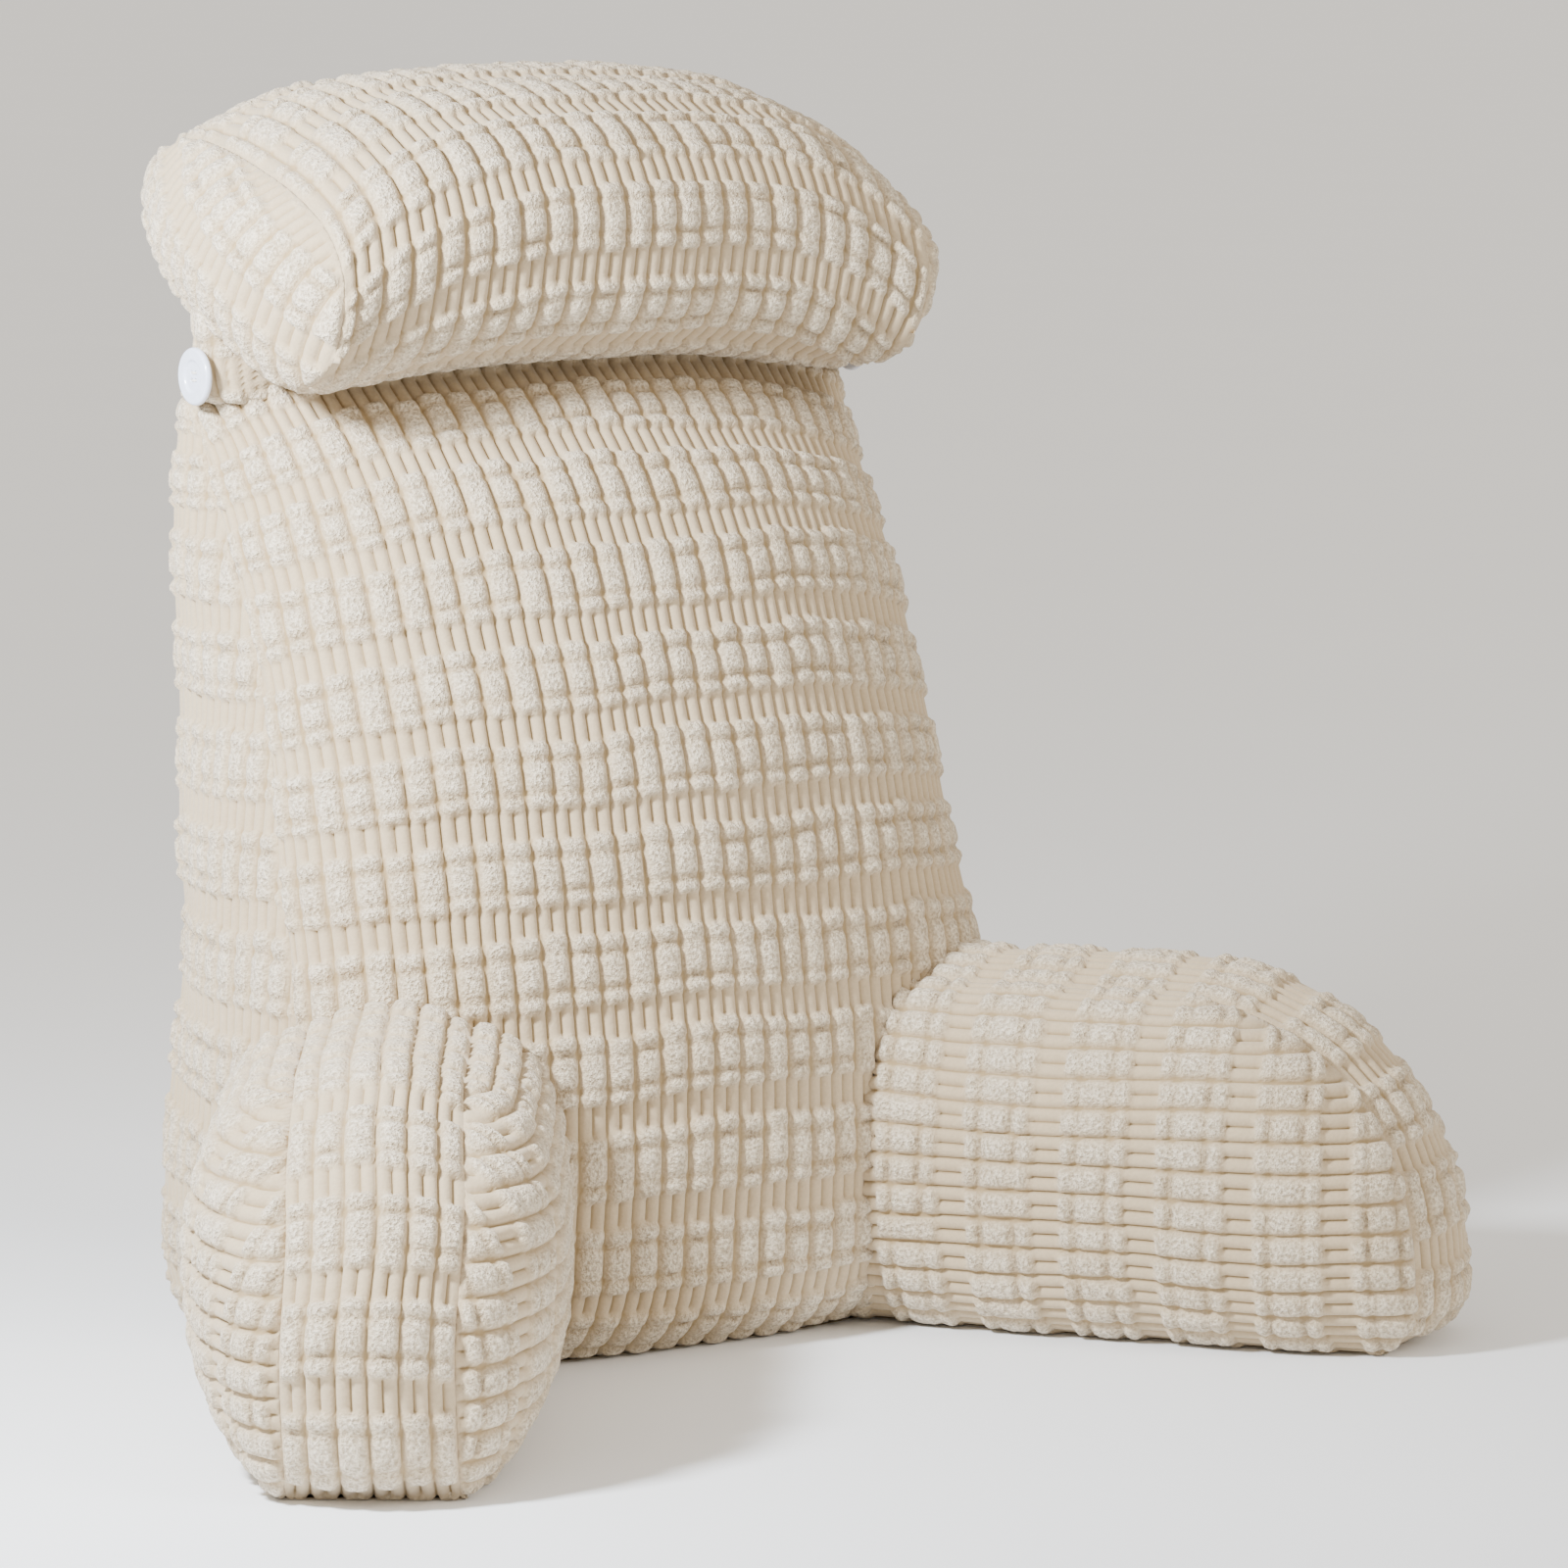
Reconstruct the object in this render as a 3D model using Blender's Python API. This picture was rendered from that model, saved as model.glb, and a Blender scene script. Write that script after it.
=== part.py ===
"""Backrest pillow: a wedge back cushion, two splayed arms and a head roll held on by two buttoned tabs.

Metres, +Z up, the front faces -Y. The origin is on the floor, under the middle of the back cushion.
Every cushion is one filled solid. The plush's ribs are raised in its faces: a point on each rib's
crest and a point in each groove, with the crests lower where a rib splits in two narrow ones.
The arms, the roll and the tabs are trimmed by what they lean on, so they follow it at a small gap.
"""

import math
from collections import namedtuple

import bmesh
import bpy
import numpy as np
from mathutils.geometry import delaunay_2d_cdt

# The plush
RIB_PITCH = 0.016
RIB_DEPTH = 0.0032
BAND_REPEAT = 0.052
BAND_DIP = 0.0013
SEAM_DIP = 0.002
SEAM_WELD = 0.0012
GAP = 0.0005

# The back cushion in level sections; a crown is how far a panel stands proud of its two seams
Section = namedtuple("Section", "z front_half front_seam front_crown back_half back_seam back_crown")
BACK_SECTIONS = (
    Section(0.000, 0.197, -0.092, 0.048, 0.190, 0.040, 0.012),
    Section(0.018, 0.208, -0.099, 0.062, 0.203, 0.047, 0.024),
    Section(0.070, 0.218, -0.102, 0.073, 0.212, 0.050, 0.036),
    Section(0.127, 0.219, -0.101, 0.077, 0.208, 0.048, 0.040),
    Section(0.176, 0.217, -0.098, 0.078, 0.202, 0.046, 0.042),
    Section(0.215, 0.214, -0.090, 0.080, 0.198, 0.045, 0.042),
    Section(0.260, 0.210, -0.076, 0.088, 0.198, 0.045, 0.042),
    Section(0.320, 0.205, -0.060, 0.092, 0.198, 0.045, 0.041),
    Section(0.382, 0.202, -0.036, 0.095, 0.199, 0.046, 0.038),
    Section(0.434, 0.200, -0.009, 0.100, 0.199, 0.047, 0.034),
    Section(0.472, 0.202, 0.013, 0.096, 0.198, 0.049, 0.028),
    Section(0.505, 0.200, 0.026, 0.073, 0.190, 0.050, 0.020),
    Section(0.533, 0.182, 0.034, 0.040, 0.174, 0.048, 0.010),
    Section(0.548, 0.145, 0.037, 0.012, 0.140, 0.045, 0.004),
)
SIDE_BULGE = 0.010
SIDE_BULGE_DEPTH = 0.100
BACK_ARC = 0.288
SIDE_DEPTH = 0.160

# An arm: its seam is a D seen from the side, flat on the floor; it starts inside the back cushion
ARM_ROOT = (0.172, -0.120)
ARM_SPLAY = math.radians(34)
ARM_TUCK = 0.100
ARM_STRAIGHT = 0.150
ARM_NOSE = 0.139
ARM_NOSE_CENTRE = 0.040
ARM_NOSE_BY_COLUMNS = 0.5
ARM_SEAM_HEIGHT = 0.187
ARM_TOE_DRAW = 0.05
ARM_STRIP_HALF = 0.043
ARM_STRIP_RIBS = 6
ARM_STRIP_CROWN = 0.013
ARM_FACE_CROWN = 0.051
ARM_FACE_CENTRE = 0.092
ARM_FACE_TURN = 0.99
ARM_FLAT_TOE = 0.025
ARM_TOE_ROUND = 0.008
ARM_FACE_MARGIN = 0.010

# The head roll in sections along its length; tilt leans its front down, taper thins its back
RollSection = namedtuple("RollSection", "x centre_y centre_z half_depth half_height tilt taper")
ROLL_SECTIONS = (
    RollSection(0.000, -0.006, 0.5950, 0.101, 0.0730, math.radians(12), 0.00),
    RollSection(0.070, -0.005, 0.5935, 0.101, 0.0725, math.radians(12), 0.00),
    RollSection(0.130, -0.002, 0.5870, 0.101, 0.0695, math.radians(14), 0.04),
    RollSection(0.165, 0.000, 0.5800, 0.102, 0.0610, math.radians(18), 0.10),
    RollSection(0.184, 0.000, 0.5765, 0.104, 0.0505, math.radians(21), 0.17),
)
ROLL_SQUARENESS = 2.5
ROLL_END_CROWN = 0.026
ROLL_END_RINGS = (0.8, 0.5, 0.2)
ROLL_POINTS = 24

# The tabs and their buttons, on the side panels under the roll
TAB_WIDTH = 0.034
TAB_THICKNESS = 0.009
TAB_CENTRE_Y = 0.007
TAB_TOP = 0.575
TAB_FOOT = 0.488
TAB_ROOT = 0.012
TAB_LEVELS = 9
TAB_POINTS = 9
TAB_FOOT_WIDTH = 0.55
TAB_FOOT_FULLNESS = 0.6
TAB_EDGE_POWER = 0.5
BUTTON_RADIUS = 0.0152
BUTTON_THICKNESS = 0.0040
BUTTON_Z = 0.514
BUTTON_POINTS = 32
BUTTON_WELL = 0.0075
BUTTON_WELL_DEPTH = 0.0011
BUTTON_HOLE = 0.0012
BUTTON_HOLE_SPREAD = 0.0028
BUTTON_BACK_RADIUS = 0.0131
BUTTON_FACE_RADIUS = 0.0140
BUTTON_EDGE_ROUND = 0.0010
HOLE_POINTS = 8

CREAM = (0.80, 0.75, 0.66)
WHITE = (0.84, 0.87, 0.93)


def smooth_column(rows, key, column, at):
    """A table's column, read at any height or length by a smooth curve through its rows."""
    x = np.array([getattr(row, key) for row in rows])
    y = np.array([getattr(row, column) for row in rows])
    slope = np.gradient(y, x)
    at = np.clip(np.asarray(at, float), x[0], x[-1])
    i = np.clip(np.searchsorted(x, at, side="right") - 1, 0, len(x) - 2)
    step = x[i + 1] - x[i]
    u = (at - x[i]) / step
    rise = (3 * u**2 - 2 * u**3) * (y[i + 1] - y[i])
    lean = (u**3 - 2 * u**2 + u) * slope[i] + (u**3 - u**2) * slope[i + 1]
    return y[i] + rise + step * lean


def rib_depth(across, along):
    """How far a face lies under its ribs' crests, at a distance across the ribs and along them."""
    groove = 0.5 - 0.5 * np.cos(2 * math.pi * np.asarray(across) / RIB_PITCH)
    band = 0.5 - 0.5 * np.cos(2 * math.pi * np.asarray(along) / BAND_REPEAT)
    return RIB_DEPTH * groove + BAND_DIP * band * (1 - groove)


def distances(points):
    """The distance along a polyline at each of its points."""
    steps = np.linalg.norm(np.diff(points, axis=0), axis=1)
    return np.concatenate([[0], np.cumsum(steps)])


def outward(points):
    """Unit normals of a flat run of points, on the right hand of its direction."""
    run = np.gradient(points, axis=0)
    run /= np.maximum(np.linalg.norm(run, axis=1, keepdims=True), 1e-9)
    return np.stack([run[:, 1], -run[:, 0]], axis=1)


def panel_run(curve, centre, reach, along, ribbed):
    """One panel's points in a level section: its two seams, and the crests and grooves between.

    centre is where on the curve a crest lies, as a share of its length, and reach is how far the
    widest section goes before and after it. Points past a seam are held on it."""
    length = distances(curve)
    step = RIB_PITCH / 2 if ribbed else RIB_PITCH
    start = centre * length[-1]
    counts = np.arange(-round(reach[0] / step), round(reach[1] / step) + 1)
    stations = np.concatenate([[0], np.clip(start + counts * step, 0, length[-1]), [length[-1]]])
    on_seam = (stations <= 0) | (stations >= length[-1])
    sunk = np.where(on_seam, SEAM_DIP, rib_depth(stations - start, along)) if ribbed else -GAP
    place = np.stack([np.interp(stations, length, curve[:, k]) for k in (0, 1)], axis=1)
    sides = outward(curve)
    normal = np.stack([np.interp(stations, length, sides[:, k]) for k in (0, 1)], axis=1)
    return place - normal * np.broadcast_to(sunk, stations.shape)[:, None]


def side_bulge(front, back):
    """How far a side panel stands proud of its seams; less where it is narrow."""
    return SIDE_BULGE * min(1, (back - front) / SIDE_BULGE_DEPTH)


def back_section(z, along, ribbed):
    """The back cushion's outline at one height, anticlockwise from its front left seam."""
    front_half, front, front_crown, back_half, back, back_crown = (
        float(smooth_column(BACK_SECTIONS, "z", column, z)) for column in Section._fields[1:]
    )
    turn = np.linspace(-math.pi / 2, math.pi / 2, 200)
    rise = np.linspace(0, 1, 60)
    side = front_half + (back_half - front_half) * rise + side_bulge(front, back) * np.sin(math.pi * rise)
    front_curve = np.stack([front_half * np.sin(turn), front - front_crown * np.cos(turn)], axis=1)
    right_curve = np.stack([side, front + (back - front) * rise], axis=1)
    back_curve = np.stack([-back_half * np.sin(turn), back + back_crown * np.cos(turn)], axis=1)
    left_curve = np.stack([-side[::-1], back + (front - back) * rise], axis=1)
    front_run = panel_run(front_curve, 0.5, (BACK_ARC, BACK_ARC), along, ribbed)
    right_run = panel_run(right_curve, 1.0, (SIDE_DEPTH, 0), along, ribbed)
    back_run = panel_run(back_curve, 0.5, (BACK_ARC, BACK_ARC), along, ribbed)
    left_run = panel_run(left_curve, 0.0, (0, SIDE_DEPTH), along, ribbed)
    for run, seams in ((right_run, (front_run[-1], back_run[0])), (left_run, (back_run[-1], front_run[0]))):
        for seam in seams:
            run[np.linalg.norm(run - seam, axis=1) < SEAM_WELD] = seam
    return np.concatenate([front_run, right_run, back_run, left_run])


def material(name, colour, roughness):
    made = bpy.data.materials.new(name)
    made.use_nodes = True
    surface = made.node_tree.nodes["Principled BSDF"]
    surface.inputs["Base Color"].default_value = (*colour, 1)
    surface.inputs["Roughness"].default_value = roughness
    surface.inputs["Metallic"].default_value = 0.0
    return made


def solid(name, mesh, colour=CREAM, roughness=0.95):
    """Welds a solid's points, triangulates it and makes it a named object with its own material."""
    bmesh.ops.remove_doubles(mesh, verts=mesh.verts, dist=1e-5)
    bmesh.ops.triangulate(mesh, faces=mesh.faces, ngon_method="EAR_CLIP")
    bmesh.ops.recalc_face_normals(mesh, faces=mesh.faces)
    if mesh.calc_volume(signed=True) < 0:
        bmesh.ops.reverse_faces(mesh, faces=mesh.faces)
    data = bpy.data.meshes.new(name)
    mesh.to_mesh(data)
    mesh.free()
    data.shade_smooth()
    made = bpy.data.objects.new(name, data)
    bpy.context.scene.collection.objects.link(made)
    data.materials.append(material(name, colour, roughness))
    return made


def cutter(name, mesh):
    """A solid that only trims others."""
    made = solid(name, mesh)
    made.hide_render = True
    made.display_type = "WIRE"
    return made


def trim(target, tool):
    cut = target.modifiers.new("trim_" + tool.name, "BOOLEAN")
    cut.operation = "DIFFERENCE"
    cut.solver = "EXACT"
    cut.object = tool


def add_rings(mesh, rings):
    """Skins rings of the same number of points and closes them with flat ends."""
    levels = [[mesh.verts.new(point) for point in ring] for ring in rings]
    for low, high in zip(levels, levels[1:]):
        for k in range(len(low)):
            after = (k + 1) % len(low)
            mesh.faces.new((low[k], low[after], high[after], high[k]))
    mesh.faces.new(levels[0][::-1])
    mesh.faces.new(levels[-1])
    return mesh


def back_mesh(ribbed):
    """The back cushion, a ring of points at each half repeat of the ribs' pattern up its front."""
    z = np.linspace(BACK_SECTIONS[0].z, BACK_SECTIONS[-1].z, 400)
    front = smooth_column(BACK_SECTIONS, "z", "front_seam", z)
    front = front - smooth_column(BACK_SECTIONS, "z", "front_crown", z)
    length = distances(np.stack([front, z], axis=1))
    along = np.append(np.arange(0, length[-1], BAND_REPEAT / 2), length[-1])
    rings = []
    for distance in along:
        height = float(np.interp(distance, length, z))
        rings.append([(x, y, height) for x, y in back_section(height, distance, ribbed)])
    if not ribbed:
        rings[0] = [(x, y, -GAP) for x, y, _ in rings[0]]
        rings[-1] = [(x, y, height + GAP) for x, y, height in rings[-1]]
    return add_rings(bmesh.new(), rings)


def arm_reach(z):
    """How far along the arm its nose seam lies, at a height."""
    high = max(0.0, (z - ARM_NOSE_CENTRE) / (ARM_SEAM_HEIGHT - ARM_NOSE_CENTRE))
    low = max(0.0, (ARM_NOSE_CENTRE - z) / ARM_NOSE_CENTRE)
    toe = ARM_TOE_ROUND * max(0.0, 1 - z / ARM_FLAT_TOE) ** 2
    return ARM_STRAIGHT + ARM_NOSE * math.sqrt(1 - min(1.0, high) ** 2) * (1 - ARM_TOE_DRAW * low**3) - toe


def arm_face_height(length, z):
    """How far the arm's face stands proud of its seams, at a distance along the arm and a height."""
    high = max(0.0, (z - ARM_FACE_CENTRE) / (ARM_SEAM_HEIGHT - ARM_FACE_CENTRE))
    low = max(0.0, ARM_FACE_TURN * (ARM_FACE_CENTRE - z) / ARM_FACE_CENTRE)
    ahead = max(0.0, length - ARM_STRAIGHT) / (arm_reach(z) - ARM_STRAIGHT)
    return ARM_FACE_CROWN * math.sqrt(max(0.0, (1 - ahead**2.2) * (1 - high**2.4 - low**2.4)))


def arm_seam(columns, rib_heights):
    """The seam's points, from inside the back cushion over the top and down the nose."""
    rise = ARM_SEAM_HEIGHT - ARM_NOSE_CENTRE
    nose = [(arm_reach(z), z) for z in rib_heights]
    for x in columns:
        share = (x - ARM_STRAIGHT) / ARM_NOSE
        if 0 < share < ARM_NOSE_BY_COLUMNS:
            nose.append((x, ARM_NOSE_CENTRE + rise * math.sqrt(1 - share**2)))
    nose.sort(key=lambda point: -point[1])
    top = [(x, ARM_SEAM_HEIGHT) for x in columns if x < ARM_STRAIGHT]
    return top + nose + [(arm_reach(0), 0.0)]


def arm_strip(seam):
    """Rows of points across the strip that joins the arm's faces, one for each point of the seam."""
    flat = np.array(seam)
    rows = []
    for (x, z), lift, distance in zip(seam, -outward(flat), distances(flat)):
        near_floor = min(1, z / ARM_FLAT_TOE)
        row = []
        for k in range(-ARM_STRIP_RIBS, ARM_STRIP_RIBS + 1):
            share = k / ARM_STRIP_RIBS
            sunk = float(rib_depth((k + 1) * RIB_PITCH / 2, distance))
            out = (ARM_STRIP_CROWN * math.sqrt(1 - share**2) - sunk) * near_floor if abs(share) < 1 else 0
            row.append((x + lift[0] * out, share * ARM_STRIP_HALF, max(0.0, z + lift[1] * out)))
        rows.append(row)
    return rows


def arm_mesh():
    """One arm along +X: a face each side, and the strip sewn between them over the top and nose."""
    rib_heights = list(np.arange(RIB_PITCH / 2, ARM_SEAM_HEIGHT - RIB_PITCH / 4, RIB_PITCH / 2))
    columns = list(np.arange(-ARM_TUCK, ARM_STRAIGHT + ARM_NOSE, BAND_REPEAT / 2))
    seam = arm_seam(columns, rib_heights)
    strip = arm_strip(seam)
    floor = [(x, 0.0) for x in columns[::-1] if x < arm_reach(0) - ARM_FACE_MARGIN]
    root = [(-ARM_TUCK, z) for z in rib_heights]
    border = seam + floor + root
    inner = [(x, z) for z in rib_heights for x in columns[1:] if x < arm_reach(z) - ARM_FACE_MARGIN]

    mesh = bmesh.new()
    known = {}

    def face(points):
        corners = []
        for point in points:
            key = tuple(round(float(c), 6) for c in point)
            if key not in known:
                known[key] = mesh.verts.new(key)
            if known[key] not in corners:
                corners.append(known[key])
        if len(corners) > 2:
            mesh.faces.new(corners)

    for low, high in zip(strip, strip[1:]):
        for k in range(len(low) - 1):
            face([low[k], high[k], high[k + 1], low[k + 1]])

    outs = []
    for i, (x, z) in enumerate(border + inner):
        out = 0.0 if i < len(seam) else arm_face_height(x, z)
        if i >= len(seam) + len(floor):
            out -= float(rib_depth(z, x))
        outs.append(ARM_STRIP_HALF + out)
    loop = [(i, (i + 1) % len(border)) for i in range(len(border))]
    _, _, triangles, origin, _, _ = delaunay_2d_cdt(border + inner, loop, [], 1, 1e-7)
    left, right = (
        [(x, sign * out, z) for (x, z), out in zip(border + inner, outs)] for sign in (-1, 1)
    )
    for side in (left, right):
        for triangle in triangles:
            face([side[origin[i][0]] for i in triangle])

    on_floor = range(len(seam), len(seam) + len(floor))
    face([left[i] for i in reversed(on_floor)] + strip[-1] + [right[i] for i in on_floor])
    at_root = range(len(seam) + len(floor) - 1, len(border))
    face([left[i] for i in at_root] + strip[0] + [right[i] for i in reversed(at_root)])
    return mesh


def arm(name, side, back_tool):
    """side is -1 for the arm on the -X side."""
    made = solid(name, arm_mesh())
    made.location = (side * ARM_ROOT[0], ARM_ROOT[1], 0)
    made.rotation_euler = (0, 0, -math.pi / 2 + side * ARM_SPLAY)
    trim(made, back_tool)


def roll_ring(x, at, shrink, sunk):
    """A section of the roll as points, at a place along it."""
    centre_y, centre_z, half_depth, half_height, tilt, taper = (
        float(smooth_column(ROLL_SECTIONS, "x", column, at)) for column in RollSection._fields[1:]
    )
    turn = np.linspace(0, 2 * math.pi, ROLL_POINTS, endpoint=False)
    power = 2 / ROLL_SQUARENESS
    y = (half_depth * shrink - sunk) * np.sign(np.cos(turn)) * np.abs(np.cos(turn)) ** power
    z = (half_height * shrink - sunk) * np.sign(np.sin(turn)) * np.abs(np.sin(turn)) ** power
    z = z * (1 - taper * y / half_depth)
    lean_y = y * math.cos(tilt) - z * math.sin(tilt)
    lean_z = y * math.sin(tilt) + z * math.cos(tilt)
    return [(x, centre_y + a, centre_z + b) for a, b in zip(lean_y, lean_z)]


def roll_mesh(ribbed):
    half_length = ROLL_SECTIONS[-1].x
    step = RIB_PITCH / 2 if ribbed else RIB_PITCH
    count = int(half_length / step)
    stations = [-half_length] + [k * step for k in range(-count, count + 1)] + [half_length]
    distance = np.arange(ROLL_POINTS) * BAND_REPEAT * 10 / ROLL_POINTS
    rings = []
    for k, x in enumerate(stations):
        sunk = rib_depth(x, distance) if ribbed else -GAP
        if ribbed and k in (0, len(stations) - 1):
            sunk = SEAM_DIP
        rings.append(roll_ring(x, abs(x), 1.0, sunk))
    for share in ROLL_END_RINGS:
        out = half_length + ROLL_END_CROWN * math.sqrt(1 - share**2) + (0 if ribbed else GAP)
        rings.insert(0, roll_ring(-out, half_length, share, 0.0))
        rings.append(roll_ring(out, half_length, share, 0.0))
    return add_rings(bmesh.new(), rings)


def side_face(z):
    """How far out the back cushion's side panel lies under the tab, at a height."""
    front_half, front, _, back_half, back, _ = (
        float(smooth_column(BACK_SECTIONS, "z", column, z)) for column in Section._fields[1:]
    )
    share = min(1, max(0, (TAB_CENTRE_Y - front) / (back - front)))
    return front_half + (back_half - front_half) * share + side_bulge(front, back) * math.sin(math.pi * share)


def tab(name, side, tools):
    """A padded tab that hangs from under the roll's end, over the side panel."""
    rings = []
    for z in np.linspace(TAB_FOOT, TAB_TOP, TAB_LEVELS):
        from_foot = min(1, (z - TAB_FOOT) / (TAB_WIDTH / 2))
        fullness = math.sqrt(1 - (1 - from_foot) ** 2)
        half = TAB_WIDTH / 2 * (TAB_FOOT_WIDTH + (1 - TAB_FOOT_WIDTH) * fullness)
        padding = TAB_THICKNESS * (TAB_FOOT_FULLNESS + (1 - TAB_FOOT_FULLNESS) * fullness)
        out = side_face(BUTTON_Z) + padding
        inner = side_face(z) - TAB_ROOT
        ring = []
        for turn in np.linspace(0, math.pi, TAB_POINTS):
            x = inner + (out - inner) * math.sin(turn) ** TAB_EDGE_POWER
            ring.append((side * x, TAB_CENTRE_Y + half * math.cos(turn), z))
        rings.append(ring)
    made = solid(name, add_rings(bmesh.new(), rings))
    for tool in tools:
        trim(made, tool)


def disc(out, radius, points, side, centre=(0, 0)):
    """A circle of points parallel to the side panel, out metres from the button's back."""
    back = side_face(BUTTON_Z) + TAB_THICKNESS + GAP
    y, z = TAB_CENTRE_Y + centre[0], BUTTON_Z + centre[1]
    turns = np.linspace(0, 2 * math.pi, points, endpoint=False)
    return [(side * (back + out), y + radius * math.cos(t), z + radius * math.sin(t)) for t in turns]


def button(name, side):
    """A round button with a well and four holes, flat on its tab."""
    profile = (
        (0.0, BUTTON_BACK_RADIUS),
        (BUTTON_EDGE_ROUND, BUTTON_RADIUS),
        (BUTTON_THICKNESS - BUTTON_EDGE_ROUND, BUTTON_RADIUS),
        (BUTTON_THICKNESS, BUTTON_FACE_RADIUS),
        (BUTTON_THICKNESS, BUTTON_WELL + BUTTON_WELL_DEPTH),
        (BUTTON_THICKNESS - BUTTON_WELL_DEPTH, BUTTON_WELL),
    )
    rings = [disc(out, radius, BUTTON_POINTS, side) for out, radius in profile]
    made = solid(name, add_rings(bmesh.new(), rings), WHITE, 0.3)
    holes = bmesh.new()
    for turn in range(45, 360, 90):
        angle = math.radians(turn)
        centre = (BUTTON_HOLE_SPREAD * math.cos(angle), BUTTON_HOLE_SPREAD * math.sin(angle))
        ends = (-BUTTON_THICKNESS, 2 * BUTTON_THICKNESS)
        add_rings(holes, [disc(out, BUTTON_HOLE, HOLE_POINTS, side, centre) for out in ends])
    trim(made, cutter(name + "_holes", holes))


def main():
    for old in list(bpy.data.objects):
        bpy.data.objects.remove(old)
    solid("backrest", back_mesh(True))
    back_tool = cutter("back_tool", back_mesh(False))
    roll_tool = cutter("roll_tool", roll_mesh(False))
    trim(solid("head_roll", roll_mesh(True)), back_tool)
    for side, word in ((-1, "left"), (1, "right")):
        arm("arm_" + word, side, back_tool)
        tab("strap_" + word, side, (back_tool, roll_tool))
        button("button_" + word, side)


main()
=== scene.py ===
"""Backrest pillow in cream block-ribbed plush, dressed over its packed CAD frame.

Metres, +Z up, the front faces -Y. Each cushion is made of its sewn panels. A panel is a grid that
follows the plush's ribs, raised in its points: long puffs, and between them pairs of low ridges.
"""

import math
from collections import namedtuple
from itertools import product

import bmesh
import bpy
import numpy as np
from bpy.props import FloatProperty, FloatVectorProperty, PointerProperty
from bpy.types import Operator, Panel, PropertyGroup
from mathutils.kdtree import KDTree
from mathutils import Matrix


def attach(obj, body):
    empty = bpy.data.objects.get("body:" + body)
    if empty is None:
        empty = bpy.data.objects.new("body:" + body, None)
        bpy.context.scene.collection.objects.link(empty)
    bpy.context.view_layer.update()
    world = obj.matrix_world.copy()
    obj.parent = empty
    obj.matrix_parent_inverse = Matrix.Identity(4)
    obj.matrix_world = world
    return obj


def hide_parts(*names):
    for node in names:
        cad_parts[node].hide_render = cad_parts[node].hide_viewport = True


bl_info = {
    "name": "Backrest Pillow",
    "version": (1, 0, 0),
    "blender": (4, 5, 0),
    "location": "3D View > Sidebar > Pillow",
    "description": "Builds a ribbed plush backrest pillow over its CAD frame",
    "category": "Object",
}

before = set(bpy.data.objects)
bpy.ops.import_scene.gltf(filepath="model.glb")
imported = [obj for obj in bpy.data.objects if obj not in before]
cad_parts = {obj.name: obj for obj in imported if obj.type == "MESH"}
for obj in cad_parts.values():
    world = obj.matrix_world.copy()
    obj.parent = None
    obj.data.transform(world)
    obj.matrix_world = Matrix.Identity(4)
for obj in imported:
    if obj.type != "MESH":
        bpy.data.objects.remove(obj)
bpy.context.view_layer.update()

# The back cushion in level sections; a crown is how far a panel stands proud of its two seams
Section = namedtuple("Section", "z front_half front_seam front_crown back_half back_seam back_crown")
BACK_SECTIONS = (
    Section(0.000, 0.197, -0.092, 0.048, 0.190, 0.040, 0.012),
    Section(0.018, 0.208, -0.099, 0.062, 0.203, 0.047, 0.024),
    Section(0.070, 0.218, -0.102, 0.073, 0.212, 0.050, 0.036),
    Section(0.127, 0.219, -0.101, 0.077, 0.208, 0.048, 0.040),
    Section(0.176, 0.217, -0.098, 0.078, 0.202, 0.046, 0.042),
    Section(0.215, 0.214, -0.090, 0.080, 0.198, 0.045, 0.042),
    Section(0.260, 0.210, -0.076, 0.088, 0.198, 0.045, 0.042),
    Section(0.320, 0.205, -0.060, 0.092, 0.198, 0.045, 0.041),
    Section(0.382, 0.202, -0.036, 0.095, 0.199, 0.046, 0.038),
    Section(0.434, 0.200, -0.009, 0.100, 0.199, 0.047, 0.034),
    Section(0.472, 0.202, 0.013, 0.096, 0.198, 0.049, 0.028),
    Section(0.505, 0.200, 0.026, 0.073, 0.190, 0.050, 0.020),
    Section(0.533, 0.182, 0.034, 0.040, 0.174, 0.048, 0.010),
    Section(0.548, 0.145, 0.037, 0.012, 0.140, 0.045, 0.004),
)
BACK_TOP = BACK_SECTIONS[-1].z

# The head roll in sections along its length; tilt leans its front down, taper thins its back
RollSection = namedtuple("RollSection", "x centre_y centre_z half_depth half_height tilt taper")
ROLL_SECTIONS = (
    RollSection(0.000, -0.006, 0.5950, 0.101, 0.0730, math.radians(12), 0.00),
    RollSection(0.070, -0.005, 0.5935, 0.101, 0.0725, math.radians(12), 0.00),
    RollSection(0.130, -0.002, 0.5870, 0.101, 0.0695, math.radians(14), 0.04),
    RollSection(0.165, 0.000, 0.5800, 0.102, 0.0610, math.radians(18), 0.10),
    RollSection(0.184, 0.000, 0.5765, 0.104, 0.0505, math.radians(21), 0.17),
)
ROLL_HALF = ROLL_SECTIONS[-1].x

# The wave texture's bands lie this far apart at a scale of 1
WAVE_PERIOD = math.pi / 10

# Where a rib's points lie across it, as shares of the pitch from its crest: close together in grooves
RIB_SHARES = (-0.5, -0.43, -0.34, -0.21, -0.06, 0.0, 0.06, 0.21, 0.34, 0.43)

# Where a puff is pinched, as a share of its length; the seed gives each pinch its own depth
Pinch = namedtuple("Pinch", "place seed")
PINCHES = (Pinch(0.24, 3), Pinch(0.73, 4))

# The side panels bulge this far where they are at least so wide
SIDE_BULGE = 0.010
SIDE_WIDE = 0.100

# A panel's edge at the floor is pulled in less: its plush starts as if this far from the seam
FLOOR_SEAM = 0.003

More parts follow.
